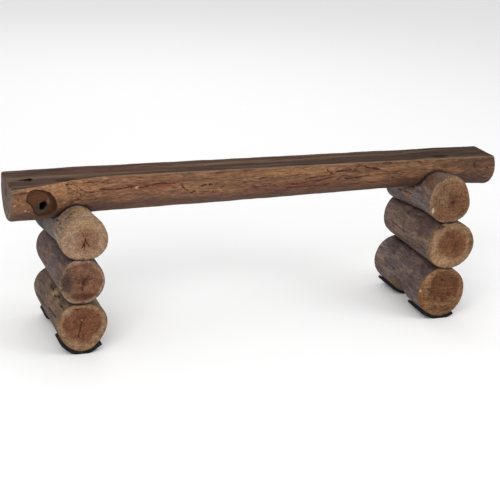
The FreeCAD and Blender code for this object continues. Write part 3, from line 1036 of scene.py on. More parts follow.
@dataclass
class LegLog(WoodenPiece):
    """A leg log: a barrel along Y with two sawn ends, bedded under the log that lies on it."""
    shape: LogShape
    side_finish: PeeledWood
    end_finish: EndGrain
    arris: float = 0.0032
    around: int = 208
    along: int = 150
    cap_rings: int = 26
    pattern_shift: float = 3.7
    check_shake: float = 0.0006
    pith: tuple[float, float] = (0.0, 0.0)
    end_checks: tuple[Path, ...] = ()
    side_checks: tuple[Path, ...] = ()
    seed: int = 1
    above: "LegLog | None" = None
    arch: Arch | None = None
    counterbores: tuple[Counterbore, ...] = ()

    slot = "log_wood"
    look = {
        "Lump Depth": 0.0030, "Lump Scale": 26.0, "Ridge Depth": 0.0013, "Ridge Scale": 150.0,
        "Ridge Stretch": Grain.Y.value, "Level": 0.60, "Check Width": 0.0023, "Check Depth": 0.0045}

    def __post_init__(self) -> None:
        """Reads the node's box and works out the section's radius and the place of its heart."""
        shape = self.shape
        self.node = shape.node
        self.finishes = (self.side_finish, self.end_finish)
        low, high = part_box(self.node)
        self.front, self.back = low.y, high.y
        turns = np.linspace(0, math.tau, 721)
        across, up = shape.unit(turns) * np.cos(turns), shape.unit(turns) * np.sin(turns)
        self.halves = {1: (across[360::-1], up[360::-1]), -1: (across[360:], up[360:])}
        drop = shape.back_drop * float(self.lean(self.back))
        if shape.flare:
            self.radius = (high.z - low.z) / ((1 + shape.oval) * (1 + shape.flare) + drop) / 2
        else:
            self.radius = (high.x - low.x) / (across.max() - across.min())
        self.x = high.x - self.radius * (1 + shape.flare) * across.max()
        self.base = low.z + 2 * self.radius * drop

    def lean(self, y: Array) -> Array:
        """How far along its leaning stretch each Y lies, from 0 to 1."""
        return np.clip((y - FLARE_END) / (LOG_LENGTH - FLARE_LENGTH), 0, None)

    def scale(self, y: Array) -> Array:
        """How much wider than its plain stretch the log is at each Y."""
        return 1 + self.shape.flare * np.clip((FLARE_END - y) / FLARE_LENGTH, 0, None)

    def heart(self, y: Array) -> tuple[Array, Array]:
        """Follows the middle of the log.

        Args:
            y: Y of each place.

        Returns:
            X and Z of the heart there.
        """
        shape, lean = self.shape, 2 * self.radius * self.lean(y)
        above_base = self.radius * self.scale(y) * (1 + shape.oval + shape.brow)
        return self.x + shape.back_shift * lean, self.base + above_base - shape.back_drop * lean

    def surface(self, turn: Array, y: Array, share: Array | float = 1.0) -> tuple[Array, Array]:
        """Places points in the log's section.

        Args:
            turn: turn round the heart.
            y: Y of each point.
            share: share of the way out from the heart.

        Returns:
            X and Z of each point.
        """
        x, z = self.heart(y)
        reach = self.radius * self.shape.unit(turn) * self.scale(y) * share
        return x + reach * np.cos(turn), z + reach * np.sin(turn)

    def level(self, x: Array, y: Array, side: int) -> Array:
        """Finds how high the log's crown or underside lies at each place, a saddle's gap off the wood.

        Args:
            x, y: the places.
            side: 1 for the crown, -1 for the underside.

        Returns:
            Z at each place.
        """
        y = np.clip(y, self.front, self.back)
        middle, heart = self.heart(y)
        size = self.radius * self.scale(y)
        return heart + size * np.interp((x - middle) / size, *self.halves[side]) + side * SADDLE_GAP

    def covers(self, x: Array, y: Array, share: float = 0.9) -> Array:
        """Whether the log lies over or under each place."""
        return np.abs(x - self.heart(np.clip(y, self.front, self.back))[0]) < self.radius * share

    def clear(self, x: Array, y: Array, z: Array) -> Array:
        """Measures how far points are from the log.

        Args:
            x, y, z: coordinates of each point.

        Returns:
            Distance from each point to the log's surface.
        """
        middle, heart = self.heart(np.clip(y, self.front, self.back))
        turn = np.arctan2(z - heart, x - middle)
        out = np.hypot(x - middle, z - heart) - self.radius * self.shape.unit(turn) * self.scale(y)
        return np.maximum(out, np.maximum(self.front - y, y - self.back))

    def rows(self) -> tuple[Array, Array]:
        """The rows of the mesh from the front pith over the barrel to the back pith.

        Returns:
            Share of the radius, and Y, of each row.
        """
        corner = self.arris / self.radius
        cap = np.linspace(0.03, 1 - corner, self.cap_rings)
        turns = np.linspace(0, math.pi / 2, ARRIS_ROWS + 2)[1:-1]
        shares = np.concatenate([cap, 1 - corner + corner * np.sin(turns)])
        depths = np.concatenate([np.zeros(len(cap)), self.arris * (1 - np.cos(turns))])
        barrel = np.linspace(self.front + self.arris, self.back - self.arris, self.along)
        if self.arch:
            barrel = self.arch.rows(barrel)
        share = np.concatenate([shares, np.ones(len(barrel)), shares[::-1]])
        return share, np.concatenate([self.front + depths, barrel, self.back - depths[::-1]])

    def build(self, tree: WeatherTree, neighbours: Sequence[WoodenPiece]) -> Object:
        """Builds, weathers and dresses the log.

        Args:
            tree: the tree that weathers it.
            neighbours: the pieces that touch it.

        Returns:
            The finished piece.
        """
        share, row_y = self.rows()
        turn, y = np.meshgrid(np.arange(self.around) * math.tau / self.around, row_y)
        share = np.broadcast_to(share[:, None], y.shape)
        x, z = self.surface(turn, y, share)
        below = (z < self.heart(y)[1]) & (share > 0.99)
        bedded = np.zeros_like(x)
        if self.above:
            limit = self.above.level(x, y, -1)
            sunk = (z > limit) & self.above.covers(x, y)
            bedded = np.where(sunk & (share > 0.95), 1.0, 0.0)
            z = np.where(sunk, limit, z)
        if self.arch:
            z = self.arch.lift(x, y, z, self)
        for counterbore in self.counterbores:
            x, y, z = counterbore.drill(x, y, z, below)
        ends = np.array([self.front, self.back])
        heart_x, heart_z = self.heart(ends)
        points = np.vstack([stack(x, y, z).reshape(-1, 3), stack(heart_x, ends, heart_z)])
        marks = self.ring_marks(turn, share, points[:, 1])
        marks["bedded"] = np.append(bedded.ravel(), [0.0, 0.0])
        if self.arch:
            marks["flow"] = self.arch.flow(points[:, 1], points[:, 2], heart_z[0])
        cap = self.cap_rings + ARRIS_ROWS
        return self.dress(tree, points, len(row_y), cap, self.around, marks, neighbours)

    def ring_marks(self, turn: Array, share: Array, y: Array) -> dict[str, Array]:
        """Works out where points lie in the log's section, once plainly and once counted from the pith.

        Args:
            turn: turn of each point of the rows.
            share: share of the way out of each point of the rows.
            y: Y of every point, the middles of both ends included.

        Returns:
            Both places by attribute name.
        """
        u, v = (np.append((share * way(turn)).ravel(), [0.0, 0.0]) for way in (np.cos, np.sin))
        inner = 1 - u ** 2 - v ** 2
        pith_u, pith_v = self.pith
        end = np.where(y < 0, 0.0, self.pattern_shift)
        return {"flat": stack(u, v, end), "ring": stack(u - pith_u * inner, v - pith_v * inner, end)}

    def checks(self) -> list[Array]:
        """Places the drying checks of both ends and the marks of the barrel.

        Returns:
            The points of each.
        """
        rng = np.random.default_rng(self.seed)
        lines = []
        for corners in self.end_checks:
            for end, flip in ((self.front, 1), (self.back, -1)):
                u, v = np.array(corners).T
                x, z = self.surface(np.arctan2(v, flip * u), end, np.hypot(u, v))
                lines.append(wander(stack(x, end, z), self.check_shake, rng))
        for corners in self.side_checks:
            degrees, y = np.array(corners).T
            x, z = self.surface(np.radians(degrees), y)
            lines.append(wander(stack(x, y, z), self.check_shake, rng))
        return lines


@dataclass
class SeatSlab(WoodenPiece):
    """The seat: a log sawn flat on top, swollen at its left end and hollowed there at a knot."""
    finishes: tuple[SlabSide, EndGrain, SawnTop]
    diameter: float = 0.125
    flat_above_heart: float = 0.036
    lobe: float = 0.012
    right_end_skew: float = 0.07
    knot_depth: float = 0.015
    knot_slope: float = 0.022
    knot_step: float = 0.0013
    hole_depth: float = 0.030
    hole_slope: float = 0.003
    slot_depth: float = 0.012
    slot_slope: float = 0.004
    left_arris: float = 0.0105
    right_arris: float = 0.0060
    front_round: float = 0.0065
    rear_round: float = 0.0030
    sections: int = 500
    under_turn: float = 0.75
    front_points: int = 72
    under_points: int = 22
    chord_points: int = 34
    cap_rings: int = 18
    top_shake: float = 0.0008
    front_shake: float = 0.0011
    pattern_shift: float = 2.3
    seed: int = 11

    node = "seat_slab"
    slot = "seat_wood"
    look = {
        "Lump Depth": 0.0034, "Lump Scale": 15.0, "Ridge Depth": 0.0012, "Ridge Scale": 105.0,
        "Ridge Stretch": Grain.X.value, "Level": 0.62, "Check Width": 0.0024, "Check Depth": 0.005}

    # Place, radius, middle and flat above the heart, as the frame's stations have them
    station_shares = (
        (-0.5, 0.7, -0.174, 0.63), (-0.445, 0.655, -0.085, 0.88), (-0.386, 0.572, 0.06, 1.1),
        (-0.319, 0.525, 0.15, 1.24), (0.415, 0.484, 0.062, 0.89), (0.5, 0.51, 0.005, 0.95))

    # X and Z of the knot's edge and of its rotted hole, and X and Y of the slot in the sawn top
    knot_outline = (
        (-0.667, 0.414), (-0.664, 0.43), (-0.656, 0.441), (-0.639, 0.443), (-0.618, 0.438), (-0.602, 0.43),
        (-0.591, 0.418), (-0.583, 0.402), (-0.58, 0.386), (-0.582, 0.373), (-0.592, 0.364), (-0.608, 0.361),
        (-0.63, 0.364), (-0.642, 0.374), (-0.648, 0.39), (-0.655, 0.403))
    hole_outline = (
        (-0.6265, 0.399), (-0.6205, 0.4005), (-0.615, 0.4035), (-0.61, 0.4), (-0.606, 0.3935), (-0.61, 0.388),
        (-0.614, 0.3805), (-0.6235, 0.379), (-0.626, 0.386))
    slot_outline = (
        (-0.687, -0.02), (-0.667, -0.018), (-0.65, -0.014), (-0.639, -0.017), (-0.636, -0.028),
        (-0.644, -0.037), (-0.657, -0.033), (-0.67, -0.028))

    # Front cracks and marks as X and Z, and checks of the sawn top as X and Y
    front_lines = paths(
        (-0.462, 0.419, -0.434, 0.415, -0.4, 0.416),
        (-0.529, 0.437, -0.516, 0.426, -0.505, 0.416, -0.477, 0.412), (-0.556, 0.442, -0.533, 0.439),
        (-0.502, 0.44, -0.479, 0.437), (-0.39, 0.4185, -0.372, 0.4185),
        (-0.358, 0.4155, -0.325, 0.4205, -0.284, 0.4235, -0.256, 0.4225),
        (-0.396, 0.4165, -0.384, 0.4205, -0.362, 0.4215),
        (-0.24, 0.417, -0.225, 0.402, -0.208, 0.392, -0.192, 0.4, -0.178, 0.411, -0.168, 0.414),
        (-0.1595, 0.4145, -0.1565, 0.412), (-0.005, 0.402, 0.103, 0.399, 0.2, 0.413),
        (0.064, 0.389, 0.125, 0.388, 0.19, 0.393),
        (0.184, 0.436, 0.194, 0.425, 0.225, 0.429, 0.266, 0.432, 0.285, 0.443, 0.311, 0.433, 0.339, 0.428),
        (0.119, 0.413, 0.166, 0.417, 0.221, 0.422), (0.215, 0.405, 0.267, 0.407, 0.312, 0.413),
        (0.267, 0.388, 0.33, 0.389), (-0.542, 0.387, -0.528, 0.394, -0.517, 0.397),
        (0.636, 0.432, 0.64, 0.42), (0.675, 0.418, 0.678, 0.415))
    top_lines = paths(
        (-0.082, 0.003, 0.03, -0.001, 0.199, 0.017, 0.3, 0.01, 0.451, 0.031), (0.04, 0.026, 0.22, 0.034),
        (-0.42, 0.03, -0.24, 0.034), (0.47, 0.008, 0.6, 0.004))

    def __post_init__(self) -> None:
        """Reads the slab's ends and the height of the seat from the frame."""
        low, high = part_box(self.node)
        self.left, self.right, self.top = low.x, high.x, high.z
        self.length = high.x - low.x

    def values(self, x: Array) -> tuple[Array, Array, Array]:
        """Reads the stations.

        Args:
            x: X of each place.

        Returns:
            Radius, Y of the heart and height of the flat above the heart there.
        """
        table = np.array(self.station_shares)
        radius, middle, flat = (np.interp(x / self.length, table[:, 0], table[:, k]) for k in (1, 2, 3))
        return radius * self.diameter, middle * self.diameter, flat * self.flat_above_heart

    def skew(self, x: Array, y: Array) -> Array:
        """Works out the slanting cut of the right end.

        Args:
            x, y: coordinates of each point.

        Returns:
            How far the cut draws each point to the left.
        """
        radius, middle, _ = self.values(x)
        start = self.station_shares[-2][0]
        share = np.clip((x / self.length - start) / (self.station_shares[-1][0] - start), 0, 1)
        return self.right_end_skew * share * (radius + y - middle)

    def clear(self, x: Array, y: Array, z: Array) -> Array:
        """Distance from each point to the slab's round side."""
        radius, middle, flat = self.values(x)
        return np.hypot(y - middle, z - self.top + flat) - radius

    def columns(self) -> Array:
        """Spreads the section lines, closer together at the knot.

        Returns:
            X of each.
        """
        knot_x = [x for x, _ in self.knot_outline]
        knot = np.arange(min(knot_x) - 0.010, max(knot_x) + 0.006, self.knot_step)
        rest = np.linspace(self.left + self.left_arris, self.right - self.right_arris, self.sections)
        rest = rest[(rest < knot[0] - 0.001) | (rest > knot[-1] + 0.001)]
        return np.sort(np.concatenate([rest, knot]))

    def section(self, x: float) -> Array:
        """The outline of the slab at X, from the front top edge round the underside to the back.

        Args:
            x: X of the section.

        Returns:
            Y and Z of each point of the closed outline.
        """
        radius, middle, flat = (float(v) for v in self.values(x))
        start = math.asin(flat / radius)
        low, high = math.pi + self.under_turn, math.tau - self.under_turn
        front = np.linspace(math.pi - start, low, self.front_points)
        under = np.linspace(low, high, self.under_points)[1:]
        back = np.linspace(high, math.tau + start, self.under_points)[1:]
        turns = np.concatenate([front, under, back])
        reach = radius * (1 + self.lobe * np.cos(3 * turns + math.tau * x / self.length))
        y = middle + reach * np.cos(turns)
        z = np.minimum(self.top - flat + reach * np.sin(turns), self.top)
        z[0] = z[-1] = self.top
        chord = np.linspace(y[-1], y[0], self.chord_points)[1:-1]
        outline = np.vstack([stack(y, z), stack(chord, self.top)])
        outline = self.rounded(outline, 0, self.front_round)
        return self.rounded(outline, len(turns) - 1, self.rear_round)

    @staticmethod
    def rounded(outline: Array, corner: int, trim: float) -> Array:
        """Rounds a corner of a closed outline off.

        Args:
            outline: its points.
            corner: number of the point at the corner.
            trim: how far from the corner the rounding starts.

        Returns:
            The outline with the points near the corner drawn onto a curve.
        """
        point = outline[corner].copy()
        count = len(outline)
        runs = [outline[(corner + 2 * way) % count] - point for way in (-1, 1)]
        ends = [point + run / np.linalg.norm(run) * trim for run in runs]
        result = outline.copy()
        for way in (-1, 1):
            index = corner
            while (apart := float(np.linalg.norm(outline[index] - point))) < trim:
                share = (1 + way * apart / trim) / 2
                result[index] = ((1 - share) ** 2 * ends[0] + 2 * share * (1 - share) * point
                                 + share ** 2 * ends[1])
                index = (index + way) % count
        return result

    def strips(self) -> tuple[Array, Array, list[Array]]:
        """The rows of the mesh from the middle of the left end to the middle of the right end.

        Returns:
            X of each row before the skew, the rows' Y and Z, and the middles of both ends.
        """
        xs = self.columns()
        rings = [self.section(x) for x in xs]
        caps = []
        for edge, arris in ((rings[0], self.left_arris), (rings[-1], self.right_arris)):
            middle = edge.mean(0)
            span = edge - middle
            size = np.linalg.norm(span, axis=1, keepdims=True)
            cap = []
            for turn in np.linspace(0, math.pi / 2, ARRIS_ROWS + 2)[1:]:
                inset = arris * (1 - math.cos(turn))
                cap.append((arris * math.sin(turn), middle + span * (1 - inset / size)))
            flat = cap[-1][1] - middle
            cap += [(arris, middle + flat * share) for share in np.linspace(0.95, 0.04, self.cap_rings)]
            caps.append(cap)
        left = [(self.left + self.left_arris - depth, ring) for depth, ring in reversed(caps[0])]
        right = [(self.right - self.right_arris + depth, ring) for depth, ring in caps[1]]
        rows = left + list(zip(xs, rings)) + right
        middles = [rings[0].mean(0), rings[-1].mean(0)]
        return np.array([x for x, _ in rows]), np.stack([ring for _, ring in rows]), middles

    def build(self, tree: WeatherTree, logs: Sequence[LegLog]) -> Object:
        """Builds, weathers and dresses the slab.

        Args:
            tree: the tree that weathers it.
            logs: the top logs that it is notched over.

        Returns:
            The finished piece.
        """
        row_x, rings, middles = self.strips()
        y, z = rings[..., 0], rings[..., 1]
        x = np.broadcast_to(row_x[:, None], y.shape)
        runs = np.linalg.norm(np.diff(rings, axis=1), axis=2).cumsum(axis=1)
        x = x - self.skew(x, y)
        x, y, z, marks = self.hollow(x, y, z, logs)
        marks["edge"] = np.column_stack([np.zeros(len(rings)), runs])
        marks = {name: np.append(values.ravel(), [0.0, 0.0]) for name, values in marks.items()}
        right = self.right - float(self.skew(self.right, middles[1][0]))
        points = np.vstack([stack(x, y, z).reshape(-1, 3), [self.left, *middles[0]], [right, *middles[1]]])
        x, y, z = points.T
        radius, middle, flat = self.values(x)
        end = np.where(x < 0, 0.0, self.pattern_shift)
        marks["ring"] = marks["flat"] = stack((y - middle) / radius, (z - self.top + flat) / radius, end)
        sawn = self.front_points + 2 * (self.under_points - 1) - 1
        return self.dress(tree, points, len(rings), self.cap_rings + 1, sawn, marks, logs)

    def hollow(self, x: Array, y: Array, z: Array,
               logs: Sequence[LegLog]) -> tuple[Array, Array, Array, dict[str, Array]]:
        """Notches the slab over the top logs and hollows it at the knot and at the slot.

        Args:
            x, y, z: coordinates of each point.
            logs: the top logs.

        Returns:
            The new X, Y and Z, and the marks of each point by attribute name.
        """
        bedded = np.zeros_like(x)
        for top_log in logs:
            crown = top_log.level(x, y, 1)
            over = top_log.covers(x, y, 0.985) & (z < crown)
            z = np.where(over, crown, z)
            bedded = np.where(over, 1.0, bedded)
        _, middle, _ = self.values(x)
        front = (y < middle - 0.02) & (z < self.top - 0.001)
        sawn = z > self.top - 1e-6
        knot = np.where(front, depth_inside(x, z, self.knot_outline), -1.0)
        hole = np.where(front, depth_inside(x, z, self.hole_outline), -1.0)
        slot = np.where(sawn, depth_inside(x, y, self.slot_outline), -1.0)
        bowl = 1 - (1 - np.clip(knot / self.knot_slope, 0, 1)) ** 2
        y = y + self.knot_depth * bowl + self.hole_depth * np.clip(hole / self.hole_slope, 0, 1)
        z = z - self.slot_depth * np.clip(slot / self.slot_slope, 0, 1)
        return x, y, z, {"bedded": bedded, "knot": knot, "hole": np.maximum(hole, slot)}

    def checks(self) -> list[Array]:
        """Places the long drying checks of the seat and the cracks of its front.

        Returns:
            The points of each.
        """
        rng = np.random.default_rng(self.seed)
        tops = (stack(*np.array(line).T, self.top) for line in self.top_lines)
        lines = [wander(line, self.top_shake, rng, 14) for line in tops]
        for line in self.front_lines:
            x, z = np.array(line).T
            radius, middle, flat = self.values(x)
            y = middle - np.sqrt(radius ** 2 - (z - (self.top - flat)) ** 2)
            lines.append(wander(stack(x, y, z), self.front_shake, rng, 7))
        return lines


def dress_node(name: str, material: Material) -> None:
    """Gives a node of the frame its finish.

    Args:
        name: the node.
        material: its only material.
    """
    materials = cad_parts[name].data.materials
    materials.clear()
    materials.append(material)
    log.info("%s: dressed in %s", name, material.name)


@dataclass(frozen=True)
class FootPad:
    """A rubber pad of the frame: its finish, and the nails that hold it to its log."""
    node: str
    thickness: float = 0.0085
    nail_share: float = 0.80
    length_shares: tuple[float, float] = (0.2, 0.8)
    head_radius: float = 0.0045
    head_height: float = 0.0016
    head_lift: float = 0.0004
    seed: int = 5

    def build(self, carrier: LegLog, rubber: Material, steel: Material, tree: NailTree) -> Object:
        """Dresses the pad and nails it on.

        Args:
            carrier: the log that carries the pad.
            rubber: the pad's material.
            steel: the nails' material.
            tree: the tree that makes the heads.

        Returns:
            The piece that holds the nails.
        """
        dress_node(self.node, rubber)
        low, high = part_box(self.node)
        outside = carrier.radius + self.thickness
        points, ways = [], []
        for edge in (low.x, high.x):
            spread = math.asin(max(-0.9, min(0.9, (edge - carrier.x) / outside))) * self.nail_share
            turn = spread - math.pi / 2
            way = np.array([math.cos(turn), 0.0, math.sin(turn)])
            for share in self.length_shares:
                y = low.y + (high.y - low.y) * share
                x, z = carrier.surface(turn, y)
                points.append(np.array([x, y, z]) + way * (self.thickness + self.head_lift))
                ways.append(way)
        piece = mesh_object(self.node + "_nails", np.array(points))
        store(piece, "way", np.array(ways))
        tree.apply(piece, {
            "Head Radius": self.head_radius, "Head Height": self.head_height, "Material": steel,
            "Seed": self.seed})
        finish_piece(piece, "screw_steel")
        return piece


@dataclass(frozen=True)
class Studio:
    """Camera, light and floor, as for a plain product photograph."""
    camera_place: Triple = (-1.3175, -3.4762, 1.5231)
    azimuth: float = 20.52
    elevation: float = 19.65
    roll: float = 2.70
    focal: float = 101.05
    sensor: float = 36.0
    sight: float = 50.0
    sky: float = 0.75
    floor_half: float = 9.0
    target: Triple = (0.0, 0.0, 0.25)

    # Name, place, size and watts of each lamp
    lamps = (
        ("key", (-2.2, -3.2, 2.6), 2.4, 90.0), ("fill", (2.8, -2.2, 1.6), 2.2, 36.0),
        ("rear", (0.5, 3.2, 2.8), 2.4, 22.0))

    def camera(self) -> None:
        """Places the camera at the photograph's angle."""
        data = bpy.data.cameras.new("camera")
        data.sensor_width, data.lens = self.sensor, self.focal
        data.clip_end = self.sight
        camera = bpy.data.objects.new("camera", data)
        turn, rise, tilt = (math.radians(v) for v in (self.azimuth, self.elevation, self.roll))
        axes = Euler((math.pi / 2 - rise, 0.0, -turn)).to_matrix().to_4x4() @ Matrix.Rotation(tilt, 4, "Z")
        camera.matrix_world = Matrix.Translation(self.camera_place) @ axes
        bpy.context.scene.collection.objects.link(camera)
        bpy.context.scene.camera = camera

    def area(self, name: str, place: Triple, size: float, watts: float) -> None:
        """Adds a soft square light that looks at the bench.

        Args:
            name: the light's name.
            place: where it stands.
            size: its side, in metres.
            watts: its power.
        """
        data = bpy.data.lights.new(name, "AREA")
        data.energy, data.size = watts, size
        lamp = bpy.data.objects.new(name, data)
        way = Vector(self.target) - Vector(place)
        lamp.matrix_world = Matrix.Translation(place) @ way.to_track_quat("-Z", "Y").to_matrix().to_4x4()
        bpy.context.scene.collection.objects.link(lamp)

    def floor(self) -> None:
        """Lays a plain pale floor."""
        corners = np.array([[-1, -1, 0], [1, -1, 0], [1, 1, 0], [-1, 1, 0]]) * self.floor_half
        plane = mesh_object("floor", corners, [(0, 1, 2, 3)])
        plane.data.materials.append(Paper("floor_paper").material())

    def backdrop(self) -> None:
        """Makes the surroundings plain white."""
        world = bpy.data.worlds.new("studio")
        world.use_nodes = True
        graph = Graph(world.node_tree)
        sky, white = (graph.add("ShaderNodeBackground", {"Color": rgba(WHITE), "Strength": strength})
                      for strength in (self.sky, 1.0))
        seen = graph.add("ShaderNodeLightPath").outputs["Is Camera Ray"]
        both = graph.add("ShaderNodeMixShader", {0: seen, 1: sky.outputs[0], 2: white.outputs[0]})
        graph.add("ShaderNodeOutputWorld", {"Surface": both.outputs[0]})
        bpy.context.scene.world = world

    def build(self) -> None:
        """Sets up the whole studio."""
        bpy.context.scene.view_settings.view_transform = "Standard"
        self.camera()
        self.floor()
        self.backdrop()
        for lamp in self.lamps:
            self.area(*lamp)


def make_logs() -> dict[str, LegLog]:
    """Describes the six leg logs with their finishes, from the top of each leg down.

    Returns:
        The logs by side and level.
    """
    barrel = PeeledWood(
        "barrel", Grain.Y, pale=paint(128, 103, 88), mid=paint(98, 78, 68), dark=paint(66, 50, 45),
        grey=paint(92, 80, 78), fleck=paint(150, 124, 108))
    left_top = LegLog(
        LogShape("left_top_log", 0.005, -0.006, 0.005, -0.048, 0.07, -0.135, 0.1),
        replace(
            barrel, name="left_top_side", seed=1.1, gain=(1.62, 1.7, 1.57), joint_shade_reach=0.007, spots=spots(
                (-0.518, -0.125, 0.392, 0.052, 0.034, 0.03, 130, 104, 70, 0.65, 0.9, 0.4),
                (-0.59, -0.145, 0.345, 0.02, 0.03, 0.04, 112, 92, 72, 0.6, 0.9),
                (-0.6, -0.15, 0.372, 0.012, 0.012, 0.016, 104, 66, 48, 0.7, 0.8),
                (-0.56, -0.11, 0.38, 0.018, 0.012, 0.02, 84, 60, 46, 0.6, 0.9),
                # The next two spots darken the log's underside from its middle to its back: painted shade
                (-0.59, 0.01, 0.315, 0.06, 0.07, 0.06, 76, 67, 66, 0.8, 0.7, 0.4),
                (-0.6, 0.09, 0.3, 0.06, 0.06, 0.06, 46, 42, 46, 0.95, 0.6, 0.35))),
        EndGrain(
            "left_top_end", paint(146, 108, 80), paint(112, 74, 52), paint(160, 126, 96), paint(136, 106, 82),
            0.5, 12.0, 0.3, 0.16, gain=(0.74, 0.77, 0.84), seed=1.0, spots=end_spots(
                (0.05, 0.58, 0.55, 0.22, 168, 140, 94, 0.4, 0.9, 0.5),
                (0.05, -0.02, 0.4, 0.5, 128, 88, 64, 0.5, 0.9, 0.6),
                (0.1, 0.16, 0.16, 0.1, 112, 72, 52, 0.5, 0.9, 0.6),
                (-0.55, -0.05, 0.3, 0.45, 166, 136, 118, 0.35, 0.9, 0.6),
                (0.0, 1.0, 0.62, 0.09, 180, 148, 132, 0.55, 0.5))), pith=(0.05, -0.12), seed=1,
        end_checks=paths(
            (0.03, -0.12, -0.12, -0.44), (0.03, -0.14, 0.2, -0.33), (0.0, -0.25, -0.01, -0.52),
            (0.04, -0.12, 0.03, 0.02)),
        side_checks=paths(
            (134, -0.1, 131, -0.112), (126, -0.104, 122, -0.12), (116, -0.102, 113, -0.114),
            (107, -0.1, 103, -0.116), (97, -0.102, 94, -0.112), (88, -0.1, 84, -0.116),
            (78, -0.102, 75, -0.112), (120, -0.128, 118, -0.136), (96, -0.126, 93, -0.136),
            (70, -0.124, 67, -0.134), (150, -0.1, 154, -0.04)))
    left_middle = LegLog(
        LogShape("left_middle_log", 0.015, 0.008, -0.004),
        replace(
            barrel, name="left_middle_side", seed=2.3, grey_share=0.65, gain=(0.83, 0.8, 0.85),
            crack_share=0.2),
        EndGrain(
            "left_middle_end", paint(118, 80, 60), paint(80, 44, 30), paint(150, 118, 96), paint(120, 94, 78),
            0.84, 13.0, 0.5, 0.18, gain=(0.82, 0.88, 0.9), seed=4.0, spots=end_spots(
                (-0.62, -0.05, 0.2, 0.5, 98, 74, 64, 0.55, 0.8, 0.6),
                (-0.7, 0.04, 0.26, 0.46, 54, 43, 40, 0.8, 1.5, 0.95),
                (-0.62, -0.66, 0.34, 0.2, 156, 124, 100, 0.5, 0.9, 0.5),
                (0.06, -0.62, 0.56, 0.15, 72, 37, 23, 0.8, 0.9, 0.6),
                (0.3, 0.72, 0.4, 0.1, 86, 50, 34, 0.5, 0.9, 0.6),
                (0.2, 0.14, 0.24, 0.07, 82, 46, 32, 0.6, 0.9, 0.6),
                (-0.18, -0.12, 0.16, 0.12, 142, 100, 78, 0.4, 0.9, 0.6),
                (0.45, -0.3, 0.3, 0.2, 140, 92, 66, 0.4, 0.9, 0.6))), pith=(0.02, 0.02), seed=2,
        above=left_top,
        end_checks=paths(
            (0.1, 0.06, 0.2, 0.11), (0.02, -0.06, 0.1, -0.14), (-0.1, -0.03, -0.22, -0.06),
            (0.0, -0.26, 0.02, -0.38), (-0.3, 0.1, -0.26, 0.24)),
        side_checks=paths((178, -0.05, 184, 0.06), (340, -0.12, 336, 0.02)))
    left_bottom = LegLog(
        LogShape("left_bottom_log", 0.006, 0.006, 0.004, 0.044),
        replace(
            barrel, name="left_bottom_side", seed=3.7, grey_share=0.35, crack_share=0.7,
            mid=paint(108, 88, 74), pale=paint(140, 114, 92), gain=(0.8, 0.76, 0.71), line=0.0036,
            spots=spots(
                (-0.574, -0.02, 0.127, 0.01, 0.02, 0.01, 164, 140, 112, 0.7, 1.3, 0.5),
                (-0.578, -0.075, 0.122, 0.008, 0.016, 0.01, 160, 134, 106, 0.6, 1.3, 0.5))),
        EndGrain(
            "left_bottom_end", paint(120, 76, 54), paint(88, 46, 30), paint(150, 116, 88), paint(120, 92, 72),
            0.72, 11.0, 0.3, 0.14, gain=(0.71, 0.72, 0.7), seed=7.0, spots=end_spots(
                (-0.02, 0.12, 0.3, 0.34, 130, 82, 58, 0.5, 0.9, 0.6),
                (-0.02, 0.29, 0.095, 0.085, 78, 42, 30, 0.8, 0.5, 0.4),
                (-0.02, 0.3, 0.05, 0.045, 160, 116, 86, 0.8, 0.4, 0.4),
                (-0.55, 0.62, 0.2, 0.16, 170, 140, 116, 0.5, 0.9, 0.6),
                (-0.22, 0.76, 0.1, 0.035, 70, 42, 32, 0.8, 0.4),
                (0.14, 0.8, 0.06, 0.03, 78, 48, 36, 0.7, 0.4),
                (0.1, -0.8, 0.5, 0.1, 166, 128, 92, 0.5, 0.8))), pith=(0.0, 0.22), seed=3, above=left_middle,
        end_checks=paths((-0.03, 0.2, -0.08, -0.05, -0.16, -0.42), (0.05, 0.34, 0.18, 0.46)),
        side_checks=paths(
            (135, -0.034, 133, -0.05), (133, -0.05, 127, -0.056), (127, -0.056, 129, -0.072),
            (130, 0.028, 131, 0.008), (127, 0.006, 132, -0.008), (137, -0.104, 134, -0.128),
            (160, -0.13, 166, -0.04), (176, 0.01, 182, 0.12), (30, -0.06, 26, 0.1)))
    right_top = LegLog(
        LogShape("right_top_log", 0.078, 0.006, -0.004, -0.05, 0.14, -0.165, 0.11),
        replace(
            barrel, name="right_top_side", seed=4.9, grey_share=0.75, grey=paint(94, 84, 84), spots=spots(
                (0.5, -0.095, 0.415, 0.06, 0.055, 0.035, 104, 74, 56, 0.75, 0.8),
                (0.47, -0.145, 0.37, 0.02, 0.012, 0.06, 150, 116, 90, 0.6, 0.8))),
        EndGrain(
            "right_top_end", paint(120, 78, 54), paint(78, 44, 28), paint(134, 98, 72), paint(126, 94, 70),
            0.86, 8.0, 0.62, 0.22, gain=(0.8, 0.93, 0.97), seed=10.0, spots=end_spots(
                (-0.05, 0.72, 0.6, 0.22, 146, 108, 78, 0.3, 0.9, 0.6),
                (-0.4, 0.1, 0.3, 0.4, 136, 102, 76, 0.4, 0.9, 0.6),
                (0.5, -0.3, 0.25, 0.45, 92, 56, 38, 0.4, 0.9, 0.6),
                (-0.86, -0.44, 0.07, 0.16, 196, 164, 136, 0.75, 0.9),
                (0.08, -0.08, 0.09, 0.08, 72, 42, 30, 0.7, 0.8))), pith=(0.08, -0.08), seed=4,
        end_checks=paths((0.05, -0.06, 0.1, -0.09)),
        side_checks=paths((186, -0.06, 192, 0.06), (10, -0.08, 14, 0.06)))
